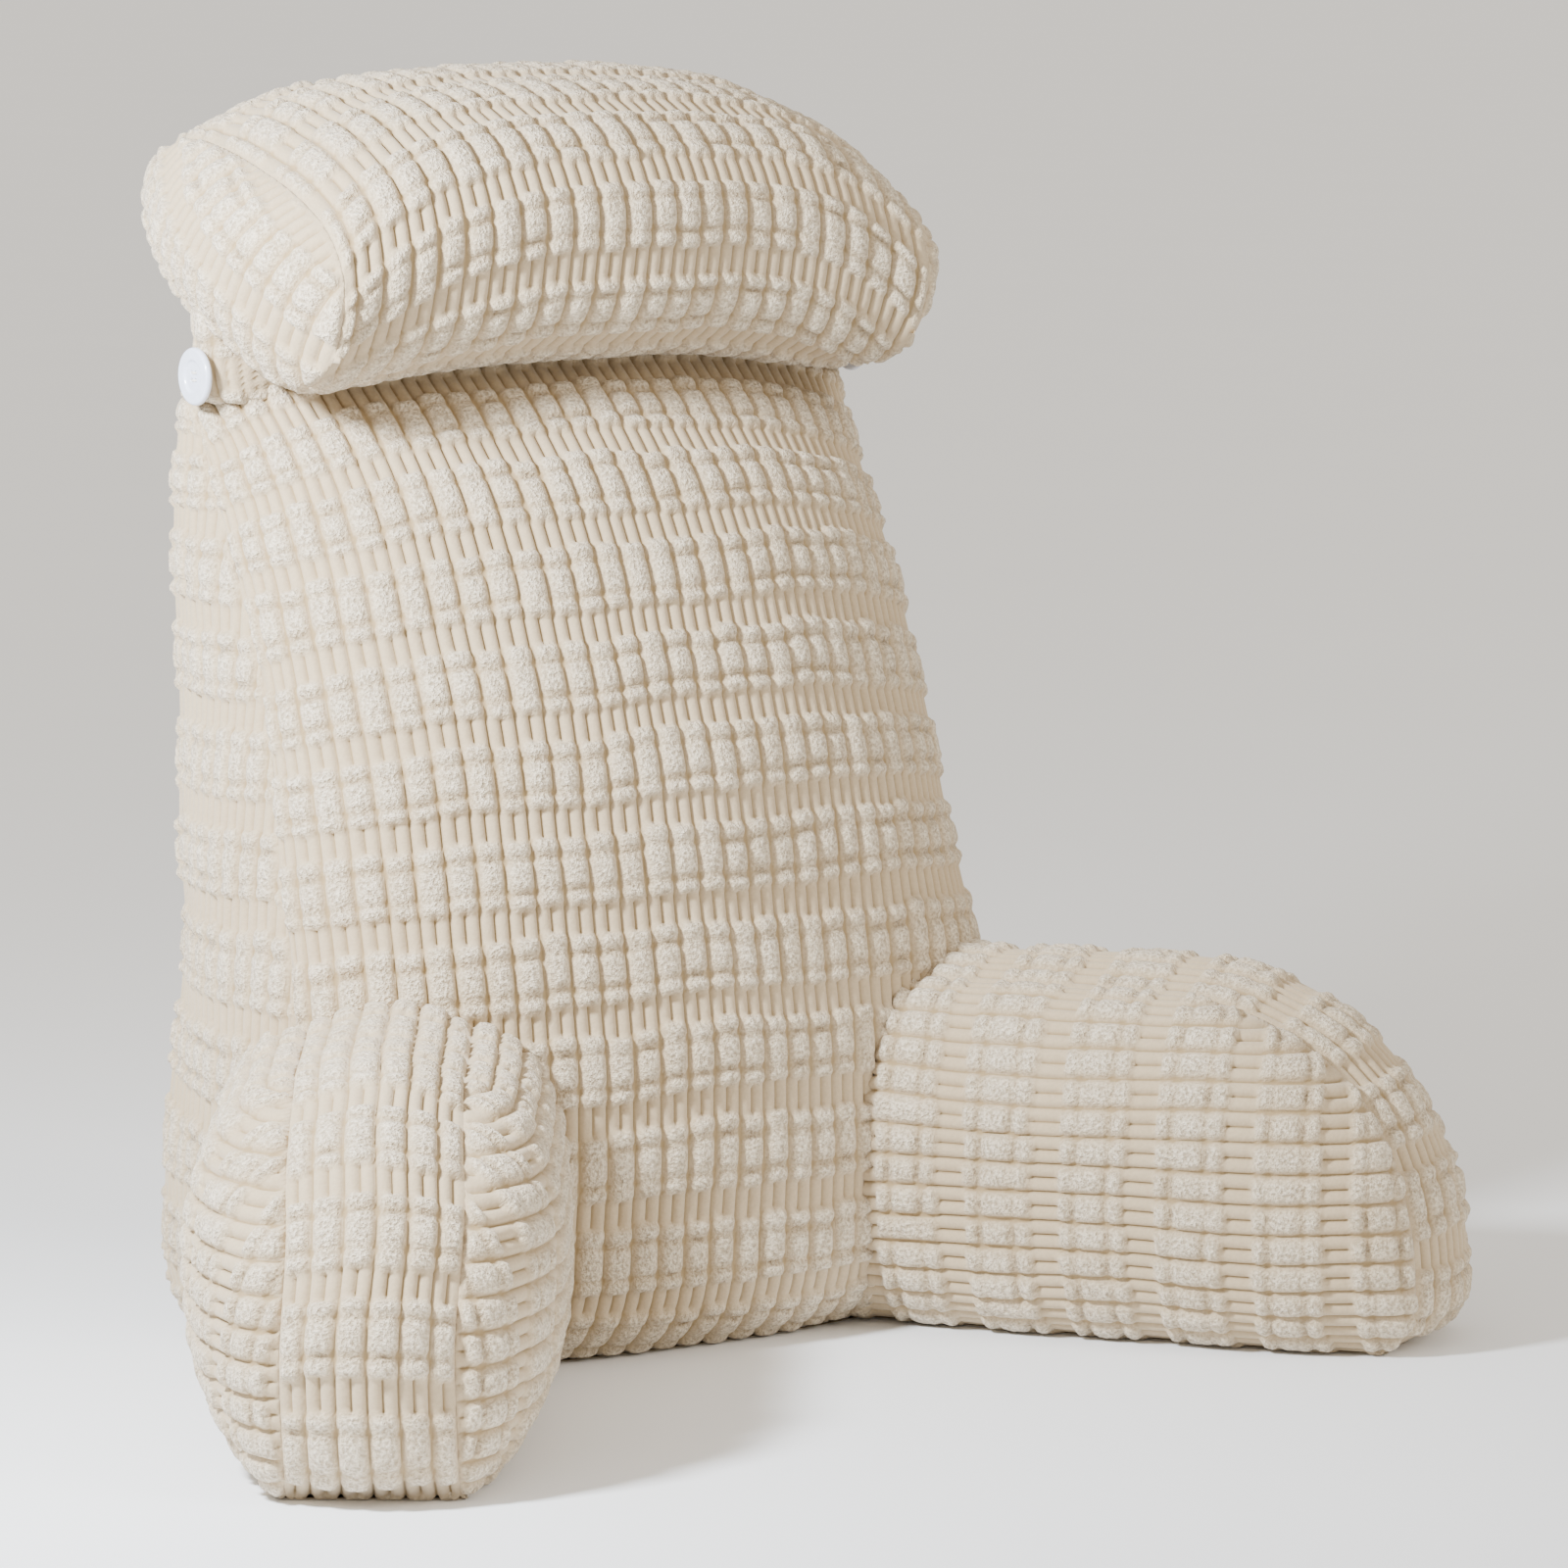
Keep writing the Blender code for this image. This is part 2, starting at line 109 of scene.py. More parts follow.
# No panel lies lower than this, and the flat base panels lie a little higher
FLOOR_GAP = 0.0004
BASE_HEIGHT = 0.0008

# Points are the same to a hundredth of a millimetre, on a seam to a tenth, and sewn together within this
STEPS_PER_METRE = 1e5
ON_SEAM = 1e-4
SEWN_WITHIN = 0.0025

# A point inside each cushion, which its panels face away from; the arm's is before it is placed, and
# the tab's is its distance out and its height
BACK_MIDDLE = (0, -0.02, 0.27)
ROLL_MIDDLE = (0, 0, 0.59)
ARM_MIDDLE = (0.12, 0.0, 0.09)
TAB_MIDDLE = (0.19, 0.53)

Lamp = namedtuple("Lamp", "name kind place size power tint")
LAMPS = (
    Lamp("window", "AREA", (-0.88, -0.30, 0.86), 0.16, 34, (0.90, 0.95, 1.0)),
    Lamp("room", "SUN", (1.2, -2.2, 1.9), math.radians(25), 1.15, (1.0, 0.94, 0.85)),
)
LAMP_AIM = (0.0, -0.1, 0.3)

# One panel as a grid: its points, the distances across and along its ribs, and the distance to a seam
Patch = namedtuple("Patch", "points across along edge")


def linear(hex_colour):
    """A colour written as in a picture, #RRGGBB, in the linear values that a shader takes."""
    values = [int(hex_colour[k:k + 2], 16) / 255 for k in (1, 3, 5)]
    return tuple(v / 12.92 if v <= 0.04045 else ((v + 0.055) / 1.055) ** 2.4 for v in values)


def length(name, default, description):
    """A size in metres."""
    return FloatProperty(name=name, default=default, description=description, unit="LENGTH", precision=4)


def share(name, default, description):
    """A plain number, mostly a share of 1."""
    return FloatProperty(name=name, default=default, description=description)


def angle(name, degrees, description):
    """An angle, given in degrees."""
    size = math.radians(degrees)
    return FloatProperty(name=name, default=size, description=description, subtype="ANGLE")


def colour(name, hex_colour, description):
    """A colour, given as #RRGGBB."""
    return FloatVectorProperty(
        name=name, default=linear(hex_colour), description=description, subtype="COLOR", min=0, max=1
    )


class PillowPlush(PropertyGroup):
    """Wide-wale polyester plush, warp-knitted and cut in blocks."""

    pitch: length("Rib pitch", 0.016, "From one rib to the next")
    repeat: length("Block repeat", 0.052, "A puff and the pair of ridges after it")
    puff_share: share("Puff share", 0.71, "The puff's part of the repeat")
    puff_height: length("Puff height", 0.0062, "How far a puff stands over the backing")
    ridge_height: length("Ridge height", 0.0030, "How far the narrow ridges stand over the backing")
    bed: share("Bed", 0.6, "How full the backing lies between puffs, as a share of the ridges' height")
    lift: length("Crest lift", 0.0016, "How far a puff stands over the cushion's face")
    puff_half: share("Puff half width", 0.455, "Half a puff's width, as a share of the pitch")
    puff_end: share("Puff end width", 0.62, "A puff's width at its very end, as a share of its full width")
    end_round: length("End rounding", 0.0038, "How far from its end a puff is full")
    pinch_width: length("Pinch width", 0.0022, "How wide a pinch across a puff is")
    pinch_narrow: share("Pinch narrowing", 0.26, "How much narrower a pinch makes the puff")
    pinch_sink: share("Pinch depth", 0.56, "How much lower a pinch makes the puff")
    # Painted shade: a pinch across a puff is drawn in the darker backing colour
    pinch_painted_shade: share("Pinch shade", 0.60, "How much of the darker backing shows in a pinch")
    ridge_place: share("Ridge place", 0.25, "From the rib's middle to a ridge's, as a share of the pitch")
    ridge_half: share("Ridge half width", 0.225, "Half a ridge's width, as a share of the pitch")
    # Painted shade: the gaps beside a puff are drawn in the darker backing colour
    bed_painted_shade: share("Bed shade", 0.26, "How much of the darker backing shows between puffs")
    wander: length("Wander", 0.0008, "How far a rib's blocks are out of line")
    drift: length("Drift", 0.0045, "How far the rows of puffs wave")
    row_step: length("Row step", 0.0020, "Between the points along a rib")
    seam_dip: length("Seam dip", 0.0022, "How deep the seams pull in")
    seam_reach: length("Seam reach", 0.0034, "How far from a seam the plush is full")
    # Painted shade at a seam: the colour level there, nearer the backing's than a puff's
    seam_shade_level: share("Seam nap", 0.3, "How open the pile lies at a seam")
    turn_in: length("Seam allowance", 0.0040, "How far the cut edge turns in")
    sway: length("Sway", 0.0026, "Soft unevenness of the stuffing")
    sway_size: length("Sway size", 0.070, "Distance between the stuffing's lumps")
    clump: length("Clump", 0.0036, "Between the clumps of a puff's pile")
    clump_height: length("Clump height", 0.0005, "How far the clumps stand out")
    curl: length("Curl", 0.0019, "From one curl of the pile to the next, drawn coarser than the real pile")
    curl_depth: length("Curl depth", 0.0030, "How strongly the curls shade, drawn deeper than they are")
    # Painted highlight: a puff's crest is drawn lighter, as pile tips
    tip_highlight_colour: colour("Tips", "#EFE2CB", "The tips of the curly pile on a puff's crest")
    nap_colour: colour("Nap", "#DFCEB2", "The curly pile on a puff")
    ridge_colour: colour("Ridge", "#C3B092", "The short pile on a ridge")
    # The backing's colour, drawn deep in the grooves, is also painted shade
    backing_and_groove_shade_colour: colour("Groove", "#A08963", "The knitted backing between ribs")


class PillowArm(PropertyGroup):
    """An arm cushion, along +X before it is placed: a D seen from the side."""

    root_x: length("Root across", 0.172, "Where the arm's line starts, from the middle")
    root_y: length("Root depth", -0.120, "Where the arm's line starts, front to back")
    splay: angle("Splay", 34, "How far the arm turns outwards")
    tuck: length("Tuck", 0.100, "How far the arm starts before its root")
    straight: length("Straight", 0.150, "Where the nose starts")
    nose: length("Nose", 0.139, "The nose's length")
    nose_centre: length("Nose centre", 0.040, "The height of the nose's tip")
    seam_height: length("Seam height", 0.187, "The height of the top seam")
    toe_draw: share("Toe draw", 0.05, "How far the nose draws in at the floor")
    strip_half: length("Strip half width", 0.043, "Half the boxing strip's width")
    strip_crown: length("Strip crown", 0.013, "How far the strip stands proud")
    flat_toe: length("Flat toe", 0.025, "Under this height the strip flattens and the nose rounds in")
    toe_round: length("Toe rounding", 0.010, "How far the nose rounds in at the floor")
    face_crown: length("Face crown", 0.051, "How far a face stands proud")
    face_centre: length("Face centre", 0.092, "The height where a face is fullest")
    face_turn: share("Face turn", 0.99, "How far a face has turned in at the floor")
    longest: length("Longest rib", 0.46, "No rib along a face is longer")


class PillowRoll(PropertyGroup):
    """The head roll."""

    squareness: share("Squareness", 2.5, "2 is an ellipse, more is squarer")
    end_crown: length("End crown", 0.031, "How far an end panel stands proud")
    end_fullness: share("End fullness", 0.7, "0.5 is a dome, 1 is flatter at its seam")
    slant: angle("End slant", 56, "How far the end panel's ribs lean")
    bend: share("End bend", 4.0, "How strongly those ribs bend to the vertical")
    bend_from: length("Bend start", 0.010, "How far before their middle they start to bend")


class PillowTab(PropertyGroup):
    """A padded tab under the roll's end."""

    width: length("Width", 0.037, "Across the tab")
    thickness: length("Thickness", 0.009, "Over the side panel")
    centre_y: length("Place", 0.007, "Front to back")
    top: length("Top", 0.575, "Height where it goes under the roll")
    foot: length("Foot", 0.501, "Height of its end")
    foot_width: share("Foot width", 0.55, "The width at its very end, as a share of the full width")
    root: length("Root", 0.004, "How deep it sits in the side panel")
    bunch: length("Bunch", 0.012, "How far it bunches out on each side under the roll")
    bunch_from: length("Bunch height", 0.526, "The height where it starts to bunch")
    bunch_rise: length("Bunch rise", 0.020, "How much higher it is bunched fully")


class PillowButton(PropertyGroup):
    """A polished resin button, cast and turned."""

    radius: length("Radius", 0.0152, "Half across")
    thickness: length("Thickness", 0.0040, "Rim to back")
    height: length("Height", 0.514, "Its centre over the floor")
    rim_round: share("Rim rounding", 0.8, "How far the rim's rounding goes in, as a share of its height")
    well: length("Well", 0.0075, "Radius of the sunk middle")
    well_depth: length("Well depth", 0.0011, "Depth of the sunk middle")
    lip: length("Lip", 0.0016, "Width of the slope round the sunk middle")
    hole: length("Hole", 0.0012, "Radius of a hole")
    hole_depth: length("Hole depth", 0.0018, "Depth of a hole")
    hole_round: length("Hole rounding", 0.0004, "Width of the slope round a hole")
    hole_spread: length("Hole spread", 0.0028, "From the centre to a hole")
    gap: length("Gap", 0.0005, "Clear of the tab")
    thread: length("Thread", 0.00035, "Radius of the thread")
    thread_apart: length("Threads apart", 0.0003, "From a stitch's middle to each of its two threads")
    swirl: length("Swirl", 0.006, "Between the resin's faint swirls")
    twist: length("Twist", 0.00035, "One turn of the thread")
    resin_colour: colour("Resin", "#DDE4F6", "White polyester resin")
    thread_colour: colour("Thread", "#EDE9E2", "Polyester sewing thread")


class PillowStage(PropertyGroup):
    """Camera, floor and light."""

    eye: FloatVectorProperty(
        name="Eye", default=(-2.1457, -3.2921, 0.8092), description="The camera's place", subtype="XYZ"
    )
    turn: angle("Turn", -35, "The camera's turn about the vertical")
    tilt: angle("Tilt", 82.4, "The camera's tilt, 90 is level")
    lens: FloatProperty(name="Lens", default=168.75, description="Focal length in mm on a 36 mm frame")
    floor_colour: colour("Floor", "#F6F8FC", "Pale matte floor")
    floor_half: length("Floor half size", 45.0, "Half the floor's width")
    room_light: share("Room light", 0.92, "How bright the light from all sides is")


def smooth_column(rows, key, column, at):
    """A table's column, read at any height or length by a smooth curve through its rows."""
    x = np.array([getattr(row, key) for row in rows])
    y = np.array([getattr(row, column) for row in rows])
    slope = np.gradient(y, x)
    at = np.clip(np.asarray(at, float), x[0], x[-1])
    i = np.clip(np.searchsorted(x, at, side="right") - 1, 0, len(x) - 2)
    step = x[i + 1] - x[i]
    u = (at - x[i]) / step
    rise = (3 * u**2 - 2 * u**3) * (y[i + 1] - y[i])
    lean = (u**3 - 2 * u**2 + u) * slope[i] + (u**3 - u**2) * slope[i + 1]
    return y[i] + rise + step * lean


def distances(points):
    """The distance along a polyline at each of its points."""
    steps = np.linalg.norm(np.diff(points, axis=0), axis=1)
    return np.concatenate([[0], np.cumsum(steps)])


def along_curve(curve, length_at, stations):
    """A curve's points at distances along it."""
    return np.stack([np.interp(stations, length_at, curve[:, k]) for k in range(curve.shape[1])], axis=1)


def chance(*cells):
    """A fixed number from 0 to 1 for each set of whole numbers."""
    mixed = np.zeros(np.broadcast(*cells).shape, np.uint64)
    for cell in cells:
        whole = np.asarray(cell).astype(np.int64).astype(np.uint64) & np.uint64(0xFFFFFFFF)
        mixed = ((mixed ^ whole) * np.uint64(2654435761)) & np.uint64(0xFFFFFFFF)
        mixed ^= mixed >> np.uint64(15)
    mixed = (mixed * np.uint64(2246822519)) & np.uint64(0xFFFFFFFF)
    return (mixed ^ (mixed >> np.uint64(13))) / 2.0**32


def noise(points, size, seed):
    """Smooth noise from -1 to 1 at points in space; size is the distance between its lumps."""
    cell = np.floor(points / size)
    part = points / size - cell
    part = part * part * (3 - 2 * part)
    total = np.zeros(len(points))
    for corner in product((0, 1), repeat=3):
        weight = np.prod(np.where(corner, part, 1 - part), axis=1)
        total += weight * chance(*(cell + corner).T, seed)
    return 2 * total - 1


def fade(value, full):
    """From 0 to 1 as a distance goes from 0 to where it is full."""
    t = np.clip(value / full, 0, 1)
    return t * t * (3 - 2 * t)


def rib_stations(low, high, pitch, offset=0.0):
    """Distances across the ribs, each rib's points between two seams, and the seams."""
    ribs = np.arange(math.floor(low / pitch) - 1, math.ceil(high / pitch) + 2)
    stations = ((ribs[:, None] + np.array(RIB_SHARES)) * pitch + offset).ravel()
    inside = stations[(stations > low) & (stations < high)]
    return np.concatenate([[low], inside, [high]])


def relief(plush, across, along, seed):
    """The plush over its backing: its height, how much of a puff is there, and its colour level, which is
    lower where the plush lies lower and holds painted shade between puffs and in pinches.

    Two low flat ridges run along each rib, and the puffs lie on them, each pinched into three lumps."""
    rib = np.floor(across / plush.pitch + 0.5)
    side = np.abs(across / plush.pitch - rib)
    along = along + plush.wander * (2 * chance(rib, seed) - 1)
    block = np.floor(along / plush.repeat)
    place = along - block * plush.repeat
    full = chance(block, rib, seed + 1)
    reach = plush.repeat * plush.puff_share + 4 * plush.wander * (chance(block, rib, seed + 2) - 0.5)
    from_end = np.minimum(place, reach - place)
    rounded = np.sqrt(1 - (1 - np.clip(from_end / plush.end_round, 0, 1)) ** 2)
    pinched = 0
    for pinch in PINCHES:
        depth = 0.20 + 0.80 * chance(block, rib, seed + pinch.seed)
        from_pinch = (place - pinch.place * reach) / plush.pinch_width
        pinched = pinched + depth * np.exp(-(from_pinch**2))
    narrowed = (plush.puff_end + (1 - plush.puff_end) * rounded) * (1 - plush.pinch_narrow * pinched)
    half = plush.puff_half * (0.94 + 0.12 * full) * narrowed
    puff = np.sqrt(np.clip(1 - (side / half) ** 2.2, 0, 1)) * rounded
    lumps = 0.92 + 0.20 * full - plush.pinch_sink * pinched
    from_ridge = np.abs((side - plush.ridge_place) / plush.ridge_half)
    ridge = np.sqrt(np.clip(1 - from_ridge**2.4, 0, 1))
    height = plush.ridge_height * ridge * (1 - puff) + plush.puff_height * lumps * puff
    height = np.maximum(height, plush.ridge_height * np.maximum(ridge, plush.bed * rounded))
    # Painted shade beside the puffs and in their pinches lowers the colour level
    shade = plush.bed_painted_shade * rounded * (1 - puff) + plush.pinch_painted_shade * pinched * puff
    return height, puff, height / plush.puff_height - shade


def sway(plush, points):
    """Moves points a little, so that the stuffing looks uneven; what meets at a seam still meets."""
    away = np.stack([noise(points, plush.sway_size, seed) for seed in (71, 72, 73)], axis=1)
    grounded = fade(points[:, 2], 0.03)
    away[:, 2] *= grounded
    return points + plush.sway * away


def back_depth(points):
    """How deep points lie inside the back cushion; negative outside."""
    x, y, z = points.T
    front_half, front, crown, back_half, back, _ = (
        smooth_column(BACK_SECTIONS, "z", column, z) for column in Section._fields[1:]
    )
    over = 1 - (x / front_half) ** 2 - ((y - front) / crown) ** 2
    slope = 2 * np.sqrt((x / front_half**2) ** 2 + ((y - front) / crown**2) ** 2)
    in_front = over / np.maximum(slope, 1e-6)
    across = np.clip((y - front) / (back - front), 0, 1)
    beside = front_half + (back_half - front_half) * across - np.abs(x)
    return np.minimum(np.where(y < front, in_front, beside), BACK_TOP - z)


def outside_back(points):
    """True for points that show: outside the back cushion, or just under its pile."""
    return back_depth(points) < 0.002


def weld(points):
    """Which of a grid's points differ, and its faces, with the corners that fell together left out."""
    whole = np.round(points.reshape(-1, 3) * STEPS_PER_METRE).astype(np.int64)
    _, first, same = np.unique(whole, axis=0, return_index=True, return_inverse=True)
    grid = same.reshape(points.shape[:2])
    quads = np.stack([grid[:-1, :-1], grid[:-1, 1:], grid[1:, 1:], grid[1:, :-1]], axis=-1)
    faces = []
    for quad in quads.reshape(-1, 4).tolist():
        corners = [a for a, b in zip(quad, quad[1:] + quad[:1]) if a != b]
        if len(set(corners)) == len(corners) and len(corners) > 2:
            faces.append(corners)
    return first, faces


def mesh_of(name, points, faces):
    """A mesh of points and faces."""
    mesh = bpy.data.meshes.new(name)
    mesh.from_pydata(points.tolist(), [], faces)
    mesh.update()
    return mesh


def normals_of(mesh):
    """The directions in which a mesh's points face."""
    normals = np.zeros(len(mesh.vertices) * 3)
    mesh.vertex_normals.foreach_get("vector", normals)
    return normals.reshape(-1, 3)


def place_object(mesh, finish):
    """A smooth-shaded piece with a material."""
    mesh.shade_smooth()
    piece = bpy.data.objects.new(mesh.name, mesh)
    bpy.context.scene.collection.objects.link(piece)
    mesh.materials.append(finish)
    return piece


def common_normals(panels, reach):
    """Turns the normals near seams to what the panels that meet there share, so that edges meet."""
    sewn = [panel for panel in panels if panel["scale"] == 1]
    if not sewn:
        return
    places = np.concatenate([panel["points"][panel["edge"] < ON_SEAM] for panel in sewn])
    normals = np.concatenate([panel["normals"][panel["edge"] < ON_SEAM] for panel in sewn])
    tree = KDTree(len(places))
    for k, place in enumerate(places):
        tree.insert(place, k)
    tree.balance()
    joined = [[k for _, k, _ in tree.find_range(place, SEWN_WITHIN)] for place in places]
    shared = np.array([sum(normals[k] for k in near) for near in joined])
    shared /= np.maximum(np.linalg.norm(shared, axis=1, keepdims=True), 1e-9)
    for panel in sewn:
        close = np.flatnonzero(panel["edge"] < reach)
        nearest = [tree.find(place)[1] for place in panel["points"][close]]
        near = fade(panel["edge"][close], reach)[:, None]
        mixed = panel["normals"][close] * near + shared[nearest] * (1 - near)
        panel["normals"][close] = mixed / np.maximum(np.linalg.norm(mixed, axis=1, keepdims=True), 1e-9)


def padded_cushion(plush, node, middle, parts, keep=None):
    """A stuffed cushion as its sewn panels; parts are (name, patch, seed, scale of the ribs)."""
    panels = []
    for name, patch, seed, scale in parts:
        first, faces = weld(patch.points)
        points = sway(plush, patch.points.reshape(-1, 3)[first])
        flat = mesh_of("flat_" + name, points, faces)
        normals = normals_of(flat)
        bpy.data.meshes.remove(flat)
        if np.sum(normals * (points - np.array(middle))) < 0:
            faces = [face[::-1] for face in faces]
            normals = -normals
        across, along, edge = (grid.ravel()[first] for grid in (patch.across, patch.along, patch.edge))
        panels.append(dict(
            name=name, points=points, faces=faces, normals=normals, across=across, along=along,
            edge=edge, seed=seed, scale=scale,
        ))
    common_normals(panels, plush.seam_reach)
    return [padded_panel(plush, node, panel, keep) for panel in panels]


def padded_panel(plush, node, panel, keep):
    """A panel of a stuffed cushion, raised to the plush's ribs, with its edges turned in."""
    points, normals, faces, scale = panel["points"], panel["normals"], panel["faces"], panel["scale"]
    along = panel["along"] + plush.drift * noise(points, 2 * plush.sway_size, panel["seed"] + 8)
    height, puff, nap = relief(plush, panel["across"], along, panel["seed"])
    near = fade(panel["edge"], plush.seam_reach)
    clumps = plush.clump_height * noise(points, plush.clump, panel["seed"] + 9) * puff
    out = (height + clumps - plush.puff_height + plush.lift) * near - plush.seam_dip * (1 - near)
    points = points + normals * (out * scale)[:, None]
    points[:, 2] = np.maximum(points[:, 2], FLOOR_GAP)
    if keep is not None:
        kept = keep(points)
        faces = [face for face in faces if any(kept[corner] for corner in face)]
    mesh = mesh_of(panel["name"], points, faces)
    # Towards a seam the colour level goes to the seam's painted shade
    nap = nap * near + plush.seam_shade_level * (1 - near)
    for word, values in (("nap", nap), ("puff", puff * near)):
        mesh.attributes.new(word, "FLOAT", "POINT").data.foreach_set("value", values.astype(np.float32))
    edit = bmesh.new()
    edit.from_mesh(mesh)
    bmesh.ops.delete(edit, geom=[v for v in edit.verts if not v.link_faces], context="VERTS")
    edit.normal_update()
    borders = [e for e in edit.edges if e.is_boundary]
    inward = {v: -v.normal.copy() for e in borders for v in e.verts}
    turned = bmesh.ops.extrude_edge_only(edit, edges=borders)
    for vert in turned["geom"]:
        if isinstance(vert, bmesh.types.BMVert):
            source = next(e.other_vert(vert) for e in vert.link_edges if e.other_vert(vert) in inward)
            vert.co += inward[source] * plush.turn_in * scale
            vert.co.z = max(vert.co.z, FLOOR_GAP)
    edit.to_mesh(mesh)
    edit.free()
    piece = place_object(mesh, plush_material(plush))
    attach(piece, "root")
    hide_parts(node)
    return piece


def add_node(tree, kind, inputs=(), **settings):
    """Adds a node to a material; inputs are numbers, colours or other nodes' sockets."""
    made = tree.nodes.new(kind)
    for name, value in settings.items():
        setattr(made, name, value)
    for name, value in dict(inputs).items():
        socket = made.inputs[name]
        if isinstance(value, bpy.types.NodeSocket):
            tree.links.new(value, socket)
        else:
            socket.default_value = value
    return made


def ramp(tree, factor, stops):
    """A colour ramp; stops are (position, colour)."""
    made = add_node(tree, "ShaderNodeValToRGB", {"Fac": factor})
    band = made.color_ramp
    while len(band.elements) < len(stops):
        band.elements.new(1.0)
    for element, (position, tint) in zip(band.elements, stops):
        element.position = position
        element.color = (*tint, 1)
    return made.outputs["Color"]


def mix(tree, factor, first, second, blend_type="MIX"):
    """Mixes two colours; a colour mix's own sockets come after those for numbers and vectors."""
    made = add_node(tree, "ShaderNodeMix", data_type="RGBA", blend_type=blend_type)
    for k, value in ((0, factor), (6, first), (7, second)):
        if isinstance(value, bpy.types.NodeSocket):
            tree.links.new(value, made.inputs[k])
        else:
            made.inputs[k].default_value = value
    return made.outputs[2]


def new_material(name):
    """A material, its node tree and its surface shader."""
    made = bpy.data.materials.new(name)
    made.use_nodes = True
    return made, made.node_tree, made.node_tree.nodes["Principled BSDF"]


def plush_material(plush):
    """Wide-wale polyester plush: curly off-white pile, smoother ridges, a darker knitted backing, with
    painted shade low down and in pinches and a painted highlight on the crests.
    """
    if "block_plush" in bpy.data.materials:
        return bpy.data.materials["block_plush"]
    made, tree, surface = new_material("block_plush")
    nap = add_node(tree, "ShaderNodeAttribute", attribute_name="nap").outputs["Fac"]
    puff = add_node(tree, "ShaderNodeAttribute", attribute_name="puff").outputs["Fac"]
    place = add_node(tree, "ShaderNodeTexCoord").outputs["Object"]
    curls = add_node(tree, "ShaderNodeTexNoise", {
        "Vector": place, "Scale": 1 / plush.curl, "Detail": 2, "Roughness": 0.6,
    }).outputs["Fac"]
    clouds = add_node(tree, "ShaderNodeTexNoise", {
        "Vector": place, "Scale": 1 / plush.sway_size, "Detail": 2,
    }).outputs["Fac"]
    # The curls show on the puffs, and hardly on the ridges' short pile
    shown = add_node(tree, "ShaderNodeMapRange", {
        "Value": puff, "To Min": 0.15, "To Max": 1.0,
    }).outputs["Result"]
    tints = (plush.backing_and_groove_shade_colour, plush.ridge_colour, plush.nap_colour, plush.tip_highlight_colour)
    backing_and_groove_shade, ridge, pile, tip = (tuple(tint) for tint in tints)
    # The colour follows the height: backing low, then ridges, curly pile, and lighter tips on the crests;
    # the low end is also painted shade in the grooves, the tips a painted highlight
    low = ramp(tree, nap, ((0.0, backing_and_groove_shade), (0.3, ridge), (0.6, ridge)))
    high = ramp(tree, nap, ((0.1, ridge), (0.5, pile), (1.0, tip)))
    cloth = mix(tree, puff, low, high)
    # The curls' speckle: the pile's own uneven tone, plus painted shade in the curls' hollows and a
    # painted highlight on their tops, following the curl bump
    curl_speckle_and_highlight = ramp(tree, curls, ((0.36, (0.52, 0.47, 0.41)), (0.64, (1, 1, 1))))
    cloth_with_curl_highlight = mix(tree, shown, cloth, curl_speckle_and_highlight, "MULTIPLY")
    cloudy = ramp(tree, clouds, ((0.3, (0.96, 0.945, 0.92)), (0.7, (1, 1, 1))))
    tree.links.new(mix(tree, 1.0, cloth_with_curl_highlight, cloudy, "MULTIPLY"), surface.inputs["Base Color"])
    bump = add_node(tree, "ShaderNodeBump", {
        "Height": curls, "Strength": shown, "Distance": plush.curl_depth,
    })
    tree.links.new(bump.outputs["Normal"], surface.inputs["Normal"])
    surface.inputs["Roughness"].default_value = 0.95
    surface.inputs["Specular IOR Level"].default_value = 0.2
    surface.inputs["IOR"].default_value = 1.57
    surface.inputs["Sheen Weight"].default_value = 0.25
    surface.inputs["Sheen Roughness"].default_value = 0.6
    return made


def back_levels(plush):
    """The back cushion's heights, a row step apart up its front, and the distance up the front."""
    z = np.linspace(0, BACK_TOP, 600)
    front = smooth_column(BACK_SECTIONS, "z", "front_seam", z)
    front = front - smooth_column(BACK_SECTIONS, "z", "front_crown", z)
    up = distances(np.stack([front, z], axis=1))
    rows = round(up[-1] / plush.row_step)
    stations = np.linspace(0, up[-1], rows + 1)
    return np.interp(stations, up, z), stations


def side_bulge(front, back, across):
    """How far a side panel bulges, at shares of its width from its front seam."""
    return SIDE_BULGE * min(1, (back - front) / SIDE_WIDE) * np.sin(math.pi * across)


def back_curves(z):
    """The front, right, back and left panels' curves in a level section, anticlockwise from the left."""
    front_half, front, front_crown, back_half, back, back_crown = (
        float(smooth_column(BACK_SECTIONS, "z", column, z)) for column in Section._fields[1:]
    )
    turn = np.linspace(-math.pi / 2, math.pi / 2, 240)
    rise = np.linspace(0, 1, 80)
    side = front_half + (back_half - front_half) * rise + side_bulge(front, back, rise)
    return (
        np.stack([front_half * np.sin(turn), front - front_crown * np.cos(turn)], axis=1),
        np.stack([side, front + (back - front) * rise], axis=1),
        np.stack([-back_half * np.sin(turn), back + back_crown * np.cos(turn)], axis=1),
        np.stack([-side[::-1], back + (front - back) * rise], axis=1),
    )


